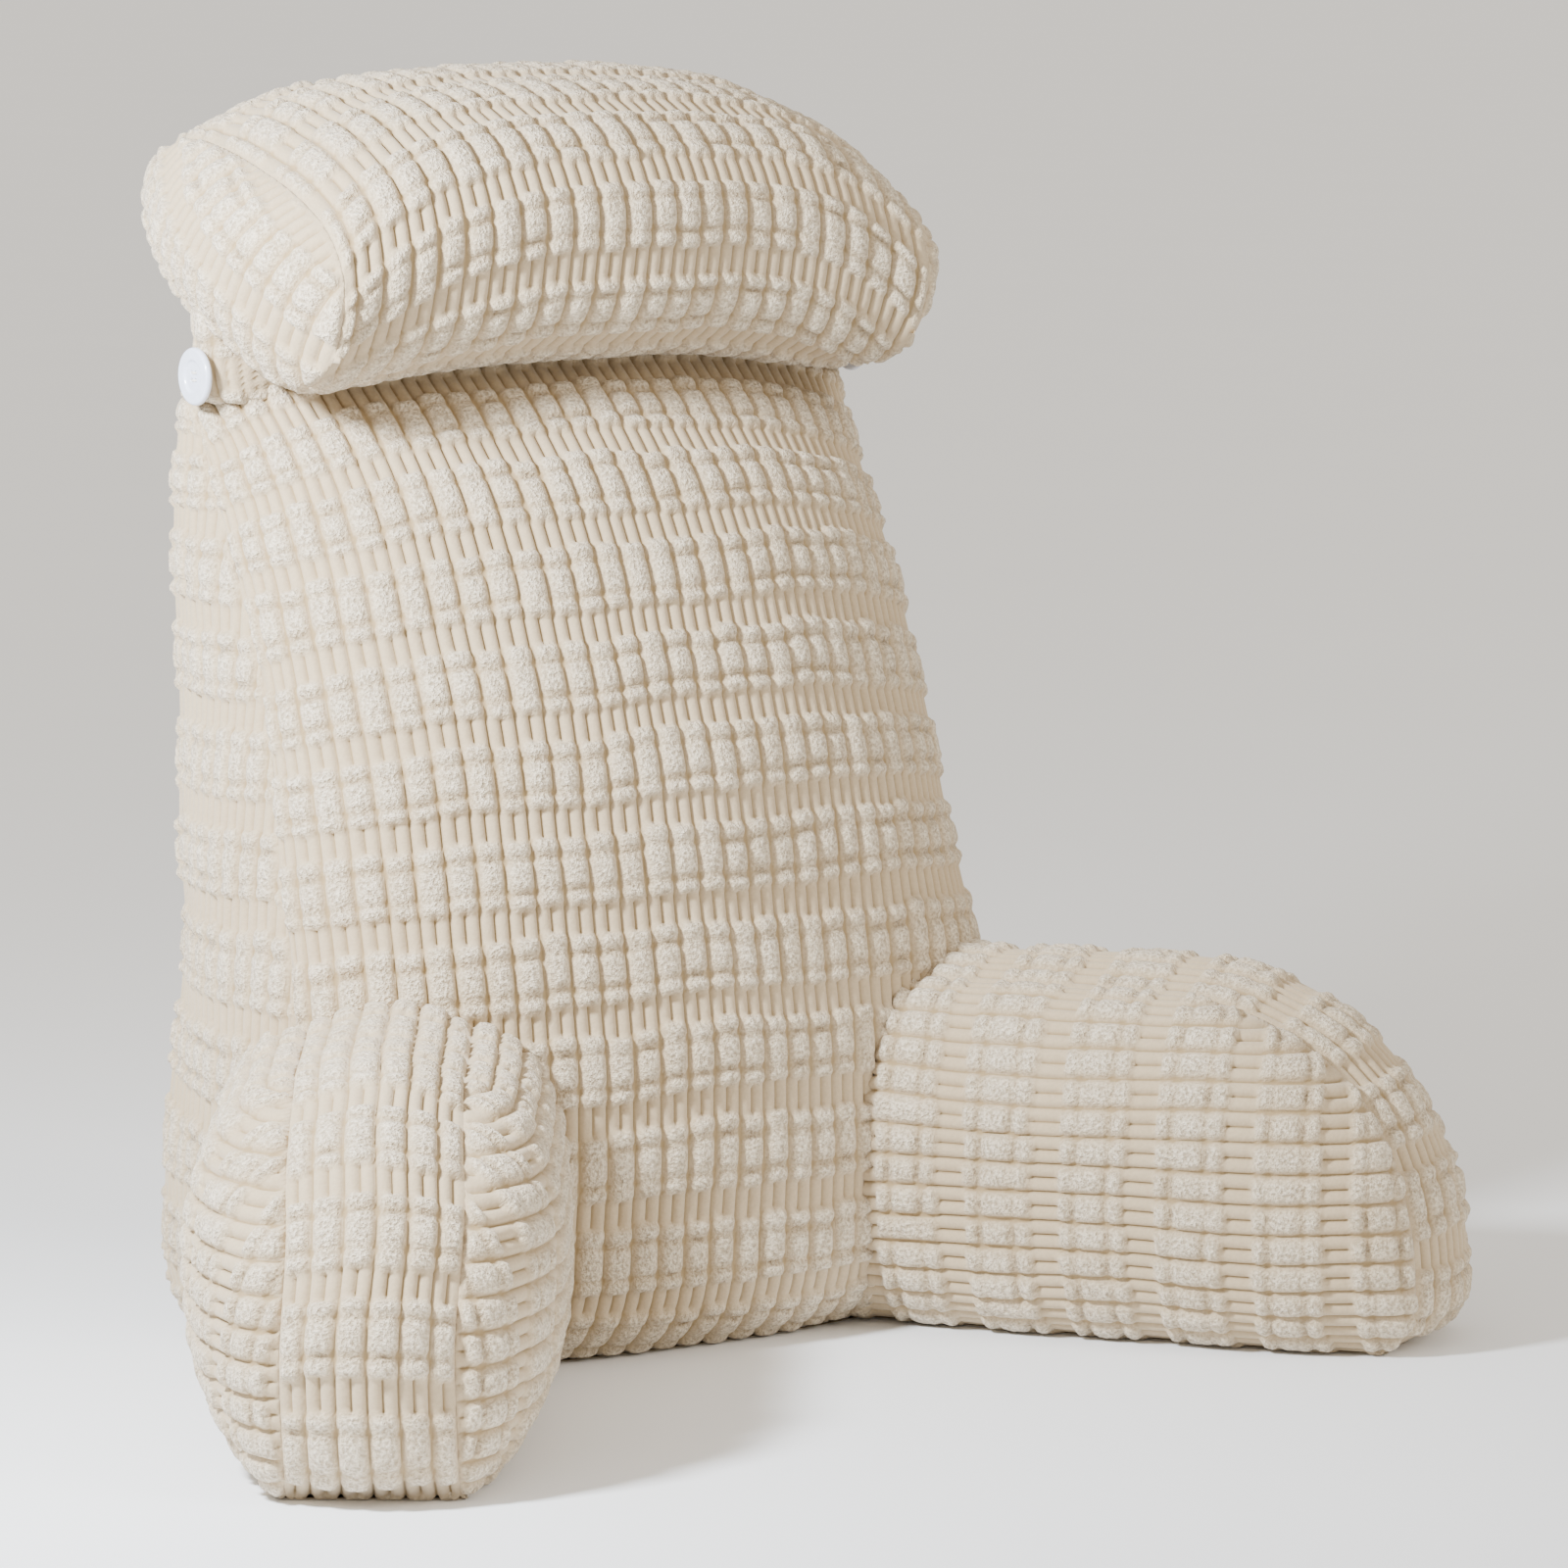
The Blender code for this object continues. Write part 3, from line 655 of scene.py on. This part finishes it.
def back_patch(plush, which, anchor):
    """A panel of the back cushion; anchor is the share of its width that its ribs keep in line with."""
    levels, up = back_levels(plush)
    curves = [back_curves(z)[which] for z in levels]
    lengths = [distances(curve) for curve in curves]
    low = max(length_at[-1] for length_at in lengths) * -anchor
    high = max(length_at[-1] for length_at in lengths) * (1 - anchor)
    stations = rib_stations(low, high, plush.pitch)
    lean = np.gradient([np.interp(anchor, [0, 1], [c[0, 1], c[-1, 1]]) for c in curves], levels)
    if anchor == 0.5:
        lean = np.gradient([curve[len(curve) // 2, 1] for curve in curves], levels)
    points, across, along, edge = [], [], [], []
    for z, height, curve, length_at, slope in zip(levels, up, curves, lengths, lean):
        start = anchor * length_at[-1]
        at = np.clip(stations, -start, length_at[-1] - start)
        flat = along_curve(curve, length_at, at + start)
        points.append(np.column_stack([flat, np.full(len(at), z)]))
        across.append(at)
        middle = np.interp(start, length_at, curve[:, 1])
        along.append(height + math.sin(math.atan(slope)) * (flat[:, 1] - middle))
        to_seam = np.minimum(at + start, length_at[-1] - start - at)
        edge.append(np.minimum(to_seam, height + FLOOR_SEAM))
    return Patch(*(np.array(grid) for grid in (points, across, along, edge)))


def disc_patch(outline, z):
    """A flat panel inside a level outline, as rings from its edge to its middle."""
    centre = outline.mean(axis=0)
    shares = np.linspace(1, 0, 14)[:, None, None]
    from_edge = 0.06
    ring = centre + shares * (np.vstack([outline, outline[:1]]) - centre)
    points = np.concatenate([ring, np.full((*ring.shape[:2], 1), z)], axis=2)
    edge = np.repeat(from_edge * (1 - shares[:, :, 0]), ring.shape[1], axis=1)
    return Patch(points, ring[:, :, 0], ring[:, :, 1], edge)


def section_outline(z):
    """The back cushion's outline at a height."""
    return np.concatenate([curve[:-1] for curve in back_curves(z)])


def build_backrest(plush):
    """The back cushion; a flat panel's ribs are nearly pressed flat."""
    sides = (
        ("back_cushion_front", 0, 0.5, 11),
        ("back_cushion_side_right", 1, 1.0, 12),
        ("back_cushion_rear", 2, 0.5, 13),
        ("back_cushion_side_left", 3, 0.0, 14),
    )
    parts = [(name, back_patch(plush, which, anchor), seed, 1) for name, which, anchor, seed in sides]
    base, top = (section_outline(z)[::4] for z in (0, BACK_TOP))
    parts.append(("back_cushion_base", disc_patch(base, BASE_HEIGHT), 15, 0.05))
    parts.append(("back_cushion_top", disc_patch(top, BACK_TOP), 16, 0.3))
    padded_cushion(plush, "backrest", BACK_MIDDLE, parts)


def arm_reach(arm, z):
    """How far along the arm its nose seam lies, at heights."""
    high = np.clip((z - arm.nose_centre) / (arm.seam_height - arm.nose_centre), 0, 1)
    low = np.clip((arm.nose_centre - z) / arm.nose_centre, 0, 1)
    toe = arm.toe_round * np.clip(1 - z / arm.flat_toe, 0, 1) ** 2
    return arm.straight + arm.nose * np.sqrt(1 - high**2) * (1 - arm.toe_draw * low**3) - toe


def arm_face_height(arm, along, z):
    """How far the arm's face stands proud of its seams."""
    high = np.clip((z - arm.face_centre) / (arm.seam_height - arm.face_centre), 0, 1)
    low = np.clip(arm.face_turn * (arm.face_centre - z) / arm.face_centre, 0, 1)
    room = np.maximum(arm_reach(arm, z) - arm.straight, 1e-6)
    ahead = np.clip((along - arm.straight) / room, 0, 1)
    return arm.face_crown * np.sqrt(np.clip((1 - ahead**2.2) * (1 - high**2.4 - low**2.4), 0, 1))


def arm_face_patch(arm, plush, side):
    """A face of the arm; its ribs run along the arm."""
    z = arm.seam_height * (1 - np.cos(np.linspace(0, math.pi, 400))) / 2
    section = distances(np.stack([z, arm_face_height(arm, 0 * z, z)], axis=1))
    section = section - np.interp(arm.face_centre, z, section)
    stations = rib_stations(section[0], section[-1], plush.pitch)
    points, across, along, edge = [], [], [], []
    steps = np.arange(0, arm.longest, plush.row_step)
    for station, height in zip(stations, np.interp(stations, section, z)):
        reach = float(arm_reach(arm, height))
        x = -arm.tuck + (reach + arm.tuck) * np.sin(np.linspace(0, math.pi / 2, 400))
        out = arm_face_height(arm, x, height)
        curve = np.stack([x, side * (arm.strip_half + out), np.full(len(x), height)], axis=1)
        length_at = distances(curve)
        at = np.clip(steps, 0, length_at[-1])
        points.append(along_curve(curve, length_at, at))
        across.append(np.full(len(at), station))
        along.append(at)
        to_seam = min(section[-1] - station, station - section[0] + FLOOR_SEAM)
        edge.append(np.minimum(length_at[-1] - at, to_seam))
    return Patch(*(np.array(grid) for grid in (points, across, along, edge)))


def arm_seam(arm):
    """The arm's seam in its middle plane, from its root over the top and down the nose."""
    top = np.stack([np.linspace(-arm.tuck, arm.straight, 60), np.full(60, arm.seam_height)], axis=1)
    turn = np.linspace(math.pi / 2, 0, 120)[1:]
    rise = arm.seam_height - arm.nose_centre
    ahead, up = arm.nose * np.cos(turn), rise * np.sin(turn)
    nose = np.stack([arm.straight + ahead, arm.nose_centre + up], axis=1)
    low = np.linspace(arm.nose_centre, 0, 30)[1:]
    return np.concatenate([top, nose, np.stack([arm_reach(arm, low), low], axis=1)])


def arm_strip_patch(arm, plush):
    """The strip sewn between the faces over the top and nose; its ribs run along it."""
    seam = arm_seam(arm)
    length_at = distances(seam)
    rows = np.arange(0, length_at[-1], plush.row_step)
    rows = np.append(rows, length_at[-1])
    line = along_curve(seam, length_at, rows)
    run = np.gradient(line, axis=0)
    run /= np.linalg.norm(run, axis=1, keepdims=True)
    lift = np.stack([-run[:, 1], run[:, 0]], axis=1)
    share_at = np.linspace(-1, 1, 200)
    profile = np.stack([arm.strip_half * share_at, arm.strip_crown * (1 - share_at**2)], axis=1)
    width_at = distances(profile)
    half = width_at[-1] / 2
    stations = rib_stations(-half, half, plush.pitch, plush.pitch / 2)
    shape = along_curve(profile, width_at, stations + half)
    flat_toe = np.clip(line[:, 1] / arm.flat_toe, 0, 1)
    out = shape[None, :, 1] * flat_toe[:, None]
    points = np.stack([
        line[:, None, 0] + lift[:, None, 0] * out,
        np.broadcast_to(shape[None, :, 0], out.shape),
        line[:, None, 1] + lift[:, None, 1] * out,
    ], axis=2)
    across = np.broadcast_to(stations - plush.pitch / 2, out.shape)
    along = np.broadcast_to(rows[:, None], out.shape)
    to_seam = np.broadcast_to(half - np.abs(stations), out.shape)
    edge = np.minimum(to_seam, (length_at[-1] - along) + FLOOR_SEAM)
    return Patch(points, across, along, edge)


def in_place(arm, points, side):
    """An arm's points in their place; side is -1 for the arm on the -X side."""
    turn = -math.pi / 2 + side * arm.splay
    x, y, z = np.moveaxis(points, -1, 0)
    return np.stack([
        side * arm.root_x + x * math.cos(turn) - y * math.sin(turn),
        arm.root_y + x * math.sin(turn) + y * math.cos(turn),
        z,
    ], axis=-1)


def arm_base_outline(arm):
    """The arm's outline on the floor."""
    floor = np.linspace(-arm.tuck, float(arm_reach(arm, 0)), 60)
    half = arm.strip_half + arm_face_height(arm, floor, 0 * floor)
    there = np.stack([floor, half], axis=1)
    return np.concatenate([there, there[::-1] * (1, -1)])


def build_arms(plush, arm):
    """The two arm cushions, cut off where they go into the back cushion."""
    for word, side in (("left", -1), ("right", 1)):
        patches = (
            ("inner", arm_face_patch(arm, plush, -side), 1),
            ("outer", arm_face_patch(arm, plush, side), 1),
            ("strip", arm_strip_patch(arm, plush), 1),
            ("base", disc_patch(arm_base_outline(arm), BASE_HEIGHT), 0.05),
        )
        parts = []
        for seed, (panel, patch, scale) in enumerate(patches, 30 + 10 * side):
            placed = patch._replace(points=in_place(arm, patch.points, side))
            parts.append((f"arm_cushion_{word}_{panel}", placed, seed, scale))
        middle = in_place(arm, np.array(ARM_MIDDLE), side)
        padded_cushion(plush, "arm_" + word, middle, parts, keep=outside_back)


def roll_section(roll, x, turn, shrink=1.0):
    """The roll's outline, as depth and height, at a place along it."""
    centre_y, centre_z, half_depth, half_height, tilt, taper = (
        float(smooth_column(ROLL_SECTIONS, "x", column, abs(x))) for column in RollSection._fields[1:]
    )
    power = 2 / roll.squareness
    y = half_depth * shrink * np.sign(np.cos(turn)) * np.abs(np.cos(turn)) ** power
    z = half_height * shrink * np.sign(np.sin(turn)) * np.abs(np.sin(turn)) ** power
    z = z * (1 - taper * y / half_depth)
    lean_y = centre_y + y * math.cos(tilt) - z * math.sin(tilt)
    lean_z = centre_z + y * math.sin(tilt) + z * math.cos(tilt)
    return np.stack([lean_y, lean_z], axis=1)


def roll_body_patch(roll, plush):
    """The roll's long panel, round from under it, over its front and top; its ribs run round it."""
    stations = rib_stations(-ROLL_HALF, ROLL_HALF, plush.pitch, plush.pitch / 2)
    turn = np.linspace(-math.pi / 2, 1.5 * math.pi, 900)
    points, along, edge = [], [], []
    reach = distances(roll_section(roll, 0, turn))[-1] / 2
    rows = math.ceil(reach / plush.row_step)
    steps = np.arange(-rows, rows + 1) * plush.row_step
    for x in stations:
        ring = roll_section(roll, x, turn)
        length_at = distances(ring)
        half = length_at[-1] / 2
        at = np.clip(steps, -half, half)
        flat = along_curve(ring, length_at, at + half)
        points.append(np.column_stack([np.full(len(at), x), flat]))
        along.append(at)
        edge.append(np.full(len(at), ROLL_HALF - abs(x)))
    across = np.repeat((stations - plush.pitch / 2)[:, None], len(steps), axis=1)
    return Patch(np.array(points), across, np.array(along), np.array(edge))


def roll_end_row(roll, station, run):
    """A rib's line on an end panel's plane, slanted and bent to the vertical, and how far out it lies.

    It lies on the rim of the roll's end section where that is 1."""
    end = ROLL_SECTIONS[-1]
    power = roll.squareness
    bent = roll.bend * np.maximum(0, run + roll.bend_from) ** 2
    slope, rise = math.cos(roll.slant), math.sin(roll.slant)
    p = station * rise + run * slope - bent
    q = station * slope - run * rise
    flat_p = p * math.cos(end.tilt) + q * math.sin(end.tilt)
    flat_q = -p * math.sin(end.tilt) + q * math.cos(end.tilt)
    thin = end.half_height * np.maximum(1 - end.taper * flat_p / end.half_depth, 0.3)
    out = (np.abs(flat_p / end.half_depth) ** power + np.abs(flat_q / thin) ** power) ** (1 / power)
    return p, q, out


def roll_end_patch(roll, plush, side):
    """An end panel: a dome inside the roll's end section. Its lines are tried well past the rim."""
    end = ROLL_SECTIONS[-1]
    far_along, far_across, fine = 0.16, 0.13, 0.0004
    run = np.linspace(-far_along, far_along, 1600)
    tried = np.arange(-far_across, far_across, fine)
    inside = [station for station in tried if np.sum(roll_end_row(roll, station, run)[2] < 1) > 3]
    points, across, along, edge = [], [], [], []
    rows = round(0.75 * far_along / plush.row_step)
    steps = np.arange(-rows, rows + 1) * plush.row_step
    for station in rib_stations(inside[0], inside[-1], plush.pitch):
        p, q, out = roll_end_row(roll, station, run)
        within = np.flatnonzero(out < 1)
        dome = roll.end_crown * (1 - np.minimum(out, 1) ** 2) ** roll.end_fullness
        curve = np.stack([side * (ROLL_HALF + dome), end.centre_y + p, end.centre_z + q], axis=1)
        length_at = distances(curve)
        length_at = length_at - np.interp(0, run, length_at)
        low, high = length_at[within[0] - 1], length_at[within[-1] + 1]
        at = np.clip(steps, low, high)
        points.append(along_curve(curve, length_at, at))
        across.append(np.full(len(at), station))
        along.append(at)
        from_rim = np.interp(at, length_at, np.clip(1 - out, 0, 1)) * end.half_depth
        edge.append(np.maximum(from_rim, np.minimum(at - low, high - at) * 0.5))
    return Patch(*(np.array(grid) for grid in (points, across, along, edge)))


def build_head_roll(plush, roll):
    """The head roll, cut off where it sinks into the back cushion."""
    parts = [("roll_body", roll_body_patch(roll, plush), 51, 1)]
    for word, side in (("left", -1), ("right", 1)):
        parts.append(("roll_end_" + word, roll_end_patch(roll, plush, side), 60 + side, 1))
    padded_cushion(plush, "head_roll", ROLL_MIDDLE, parts, keep=outside_back)


def side_face(tab, z):
    """How far out the back cushion's side panel lies under the tab, at a height."""
    front_half, front, _, back_half, back, _ = (
        float(smooth_column(BACK_SECTIONS, "z", column, z)) for column in Section._fields[1:]
    )
    across = min(1, max(0, (tab.centre_y - front) / (back - front)))
    return front_half + (back_half - front_half) * across + side_bulge(front, back, across)


def front_face(y, z):
    """How far out the back cushion's front panel reaches at a depth and height."""
    columns = ("front_half", "front_seam", "front_crown")
    half, front, crown = (float(smooth_column(BACK_SECTIONS, "z", column, z)) for column in columns)
    return half * math.sqrt(max(0, 1 - (min(0, y - front) / crown) ** 2))


def tab_patch(tab, button, side):
    """The tab's padded outside, from its rounded foot up to under the roll.

    Its front wall goes in as far as the back cushion's front panel."""
    levels = np.linspace(tab.foot, tab.top, 48)
    turn = np.linspace(0, math.pi, 60)
    face = side_face(tab, button.height) + tab.thickness
    points, across = [], []
    for z in levels:
        full = math.sqrt(1 - (1 - min(1, (z - tab.foot) / (tab.width / 2))) ** 2)
        half = tab.width / 2 * (tab.foot_width + (1 - tab.foot_width) * full)
        half = half + tab.bunch * fade(z - tab.bunch_from, tab.bunch_rise)
        inner = side_face(tab, z) - tab.root
        front_inner = min(inner, front_face(tab.centre_y - half, z) - tab.root)
        base = np.interp(turn, [math.pi / 2, math.pi], [inner, front_inner])
        out = base + (face - base) * math.sqrt(full) * np.sin(turn) ** 0.7
        row = np.stack([side * out, tab.centre_y + half * np.cos(turn), np.full(len(turn), z)], axis=1)
        round_it = distances(row)
        points.append(row)
        across.append(round_it - np.interp(math.pi / 2, turn, round_it))
    points, across = np.array(points), np.array(across)
    no_seam = np.full(across.shape, 1.0)
    return Patch(points, across, points[:, :, 2], no_seam)


def build_tab(word, side, plush, tab, button):
    """A tab, whose ribs are lower than the cushions'."""
    x, z = TAB_MIDDLE
    parts = [("tab_" + word, tab_patch(tab, button, side), 80 + side, 0.6)]
    padded_cushion(plush, "strap_" + word, (side * x, tab.centre_y, z), parts)


def button_material(button):
    """Cast polyester resin, polished."""
    made, tree, surface = new_material("button_resin")
    place = add_node(tree, "ShaderNodeTexCoord").outputs["Object"]
    swirl = add_node(tree, "ShaderNodeTexNoise", {"Vector": place, "Scale": 1 / button.swirl, "Detail": 2})
    tint = tuple(button.resin_colour)
    shade = tuple(0.94 * c for c in tint)
    resin = ramp(tree, swirl.outputs["Fac"], ((0.35, shade), (0.65, tint)))
    tree.links.new(resin, surface.inputs["Base Color"])
    surface.inputs["Roughness"].default_value = 0.22
    surface.inputs["IOR"].default_value = 1.55
    surface.inputs["Coat Weight"].default_value = 0.3
    return made


def thread_material(button):
    """Twisted polyester thread."""
    made, tree, surface = new_material("thread")
    place = add_node(tree, "ShaderNodeTexCoord").outputs["Object"]
    twist = add_node(tree, "ShaderNodeTexWave", {
        "Vector": place, "Scale": WAVE_PERIOD / button.twist, "Distortion": 1.0,
    })
    tint = tuple(button.thread_colour)
    shade = tuple(0.75 * c for c in tint)
    strands = ramp(tree, twist.outputs["Fac"], ((0.2, shade), (0.7, tint)))
    tree.links.new(strands, surface.inputs["Base Color"])
    surface.inputs["Roughness"].default_value = 0.8
    return made


def button_face(tab, button):
    """How far out a button's back lies."""
    return side_face(tab, button.height) + tab.thickness + button.gap


def build_button(word, side, tab, button, finish):
    """A turned disc with a rounded rim, a well and four holes."""
    back = button_face(tab, button)
    rim = np.linspace(-math.pi / 2, math.pi / 2, 13)
    half = button.thickness / 2
    rounding = half * button.rim_round
    outer = np.stack([
        button.radius - rounding + rounding * np.cos(rim),
        half + half * np.sin(rim),
    ], axis=1)
    radii = np.linspace(outer[-1, 0], 0.0, 46)[1:]
    dish = fade(button.well + button.lip - radii, button.lip) * button.well_depth
    face = np.stack([radii, button.thickness - dish], axis=1)
    profile = np.concatenate([[[0.0, 0.0]], outer, face])
    turn = np.linspace(0, 2 * math.pi, 97)
    y = profile[:, :1] * np.cos(turn)
    z = profile[:, :1] * np.sin(turn)
    out = np.repeat(profile[:, 1:], len(turn), axis=1)
    on_face = np.arange(len(profile))[:, None] > len(outer)
    for corner in range(45, 360, 90):
        hole_y, hole_z = (button.hole_spread * f(math.radians(corner)) for f in (math.cos, math.sin))
        from_hole = np.hypot(y - hole_y, z - hole_z)
        sunk = button.hole_depth * fade(button.hole - from_hole, button.hole_round)
        out = np.where(on_face, out - sunk, out)
    points = np.stack([side * (back + out), tab.centre_y + y, button.height + z], axis=2)
    first, faces = weld(points)
    flat = points.reshape(-1, 3)[first]
    mesh = mesh_of("button_disc_" + word, flat, faces)
    if np.sum(normals_of(mesh) * (flat - flat.mean(axis=0))) < 0:
        mesh.flip_normals()
    piece = place_object(mesh, finish)
    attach(piece, "root")
    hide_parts("button_" + word)


def build_stitches(word, side, tab, button, finish):
    """Two stitches through a button's holes, each of two threads that arch over the well."""
    spread = button.hole_spread * math.cos(math.radians(45))
    floor = button_face(tab, button) + button.thickness - button.well_depth
    start = [(floor - 0.0010, -spread), (floor + 0.0002, -spread * 0.8)]
    arch = [*start, (floor + 0.0005, 0), *((out, -y) for out, y in start[::-1])]
    curve = bpy.data.curves.new("button_thread_" + word, "CURVE")
    curve.dimensions = "3D"
    curve.bevel_depth = button.thread
    curve.bevel_resolution = 3
    for level in (-spread, spread):
        for lane in (-button.thread_apart, button.thread_apart):
            line = curve.splines.new("POLY")
            line.points.add(len(arch) - 1)
            for point, (out, y) in zip(line.points, arch):
                point.co = (side * out, tab.centre_y + y, button.height + level + lane, 1)
    stitches = bpy.data.objects.new("button_thread_" + word, curve)
    bpy.context.scene.collection.objects.link(stitches)
    curve.materials.append(finish)
    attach(stitches, "root")


def floor_material(stage):
    """Matte wall paint, rolled: hardly any pattern, no gloss."""
    made, tree, surface = new_material("floor_paint")
    place = add_node(tree, "ShaderNodeTexCoord").outputs["Object"]
    cloud = add_node(tree, "ShaderNodeTexNoise", {"Vector": place, "Scale": 3})
    tint = tuple(stage.floor_colour)
    shade = tuple(0.99 * c for c in tint)
    paint = ramp(tree, cloud.outputs["Fac"], ((0.3, shade), (0.7, tint)))
    tree.links.new(paint, surface.inputs["Base Color"])
    surface.inputs["Roughness"].default_value = 0.9
    return made


def add_light(lamp):
    """A light of the table of lamps, aimed at the pillow and not itself seen."""
    light = bpy.data.lights.new(lamp.name, lamp.kind)
    light.energy = lamp.power
    light.color = lamp.tint
    if lamp.kind == "AREA":
        light.size = lamp.size
    else:
        light.angle = lamp.size
    placed = bpy.data.objects.new(lamp.name, light)
    placed.location = lamp.place
    placed.visible_camera = False
    aim = np.array(LAMP_AIM) - np.array(lamp.place)
    tilt = math.acos(-aim[2] / np.linalg.norm(aim))
    placed.rotation_euler = (tilt, 0, math.atan2(aim[1], aim[0]) - math.pi / 2)
    bpy.context.scene.collection.objects.link(placed)


class PILLOW_OT_backrest(Operator):
    """Build the back cushion's panels"""

    bl_idname = "pillow.backrest"
    bl_label = "Back cushion"

    def execute(self, context):
        build_backrest(context.scene.pillow_plush)
        return {"FINISHED"}


class PILLOW_OT_arms(Operator):
    """Build the two arm cushions' panels"""

    bl_idname = "pillow.arms"
    bl_label = "Arms"

    def execute(self, context):
        build_arms(context.scene.pillow_plush, context.scene.pillow_arm)
        return {"FINISHED"}


class PILLOW_OT_head_roll(Operator):
    """Build the head roll's panels"""

    bl_idname = "pillow.head_roll"
    bl_label = "Head roll"

    def execute(self, context):
        build_head_roll(context.scene.pillow_plush, context.scene.pillow_roll)
        return {"FINISHED"}


class PILLOW_OT_tabs(Operator):
    """Build the two tabs with their buttons"""

    bl_idname = "pillow.tabs"
    bl_label = "Tabs and buttons"

    def execute(self, context):
        scene = context.scene
        plush, tab, button = scene.pillow_plush, scene.pillow_tab, scene.pillow_button
        resin, thread = button_material(button), thread_material(button)
        for word, side in (("left", -1), ("right", 1)):
            build_tab(word, side, plush, tab, button)
            build_button(word, side, tab, button, resin)
            build_stitches(word, side, tab, button, thread)
        return {"FINISHED"}


class PILLOW_OT_stage(Operator):
    """Build the camera, the pale floor and the studio light"""

    bl_idname = "pillow.stage"
    bl_label = "Stage"

    def execute(self, context):
        scene, stage = context.scene, context.scene.pillow_stage
        camera = bpy.data.objects.new("camera", bpy.data.cameras.new("camera"))
        camera.data.lens = stage.lens
        camera.data.sensor_width = 36
        camera.location = stage.eye
        camera.rotation_euler = (stage.tilt, 0, stage.turn)
        scene.collection.objects.link(camera)
        scene.camera = camera

        half = stage.floor_half
        corners = np.array([(-half, -half, 0), (half, -half, 0), (half, half, 0), (-half, half, 0)])
        floor = mesh_of("floor", corners, [(0, 1, 2, 3)])
        place_object(floor, floor_material(stage))

        world = bpy.data.worlds.new("studio")
        world.use_nodes = True
        backdrop = world.node_tree.nodes["Background"]
        backdrop.inputs["Color"].default_value = (1.0, 0.93, 0.82, 1)
        backdrop.inputs["Strength"].default_value = stage.room_light
        scene.world = world
        for lamp in LAMPS:
            add_light(lamp)
        return {"FINISHED"}


class PILLOW_PT_panel(Panel):
    """Lists the operators and the sizes and colours"""

    bl_label = "Backrest Pillow"
    bl_idname = "PILLOW_PT_panel"
    bl_space_type = "VIEW_3D"
    bl_region_type = "UI"
    bl_category = "Pillow"

    def draw(self, context):
        for operator in OPERATORS:
            self.layout.operator(operator.bl_idname)
        for name, kind in SETTINGS.items():
            box = self.layout.box()
            box.label(text=kind.__doc__)
            for entry in kind.__annotations__:
                box.prop(getattr(context.scene, name), entry)


SETTINGS = {
    "pillow_plush": PillowPlush,
    "pillow_arm": PillowArm,
    "pillow_roll": PillowRoll,
    "pillow_tab": PillowTab,
    "pillow_button": PillowButton,
    "pillow_stage": PillowStage,
}
OPERATORS = (PILLOW_OT_stage, PILLOW_OT_backrest, PILLOW_OT_arms, PILLOW_OT_head_roll, PILLOW_OT_tabs)


def register():
    """Registers the classes, and the settings with the scene."""
    for kind in (*SETTINGS.values(), *OPERATORS, PILLOW_PT_panel):
        bpy.utils.register_class(kind)
    for name, kind in SETTINGS.items():
        setattr(bpy.types.Scene, name, PointerProperty(type=kind))


def unregister():
    """Takes the settings and the classes away again."""
    for name in SETTINGS:
        delattr(bpy.types.Scene, name)
    for kind in (PILLOW_PT_panel, *OPERATORS, *SETTINGS.values()):
        bpy.utils.unregister_class(kind)


def main():
    """Builds everything."""
    register()
    bpy.ops.pillow.stage()
    bpy.ops.pillow.backrest()
    bpy.ops.pillow.arms()
    bpy.ops.pillow.head_roll()
    bpy.ops.pillow.tabs()


if __name__ == "__main__":
    main()
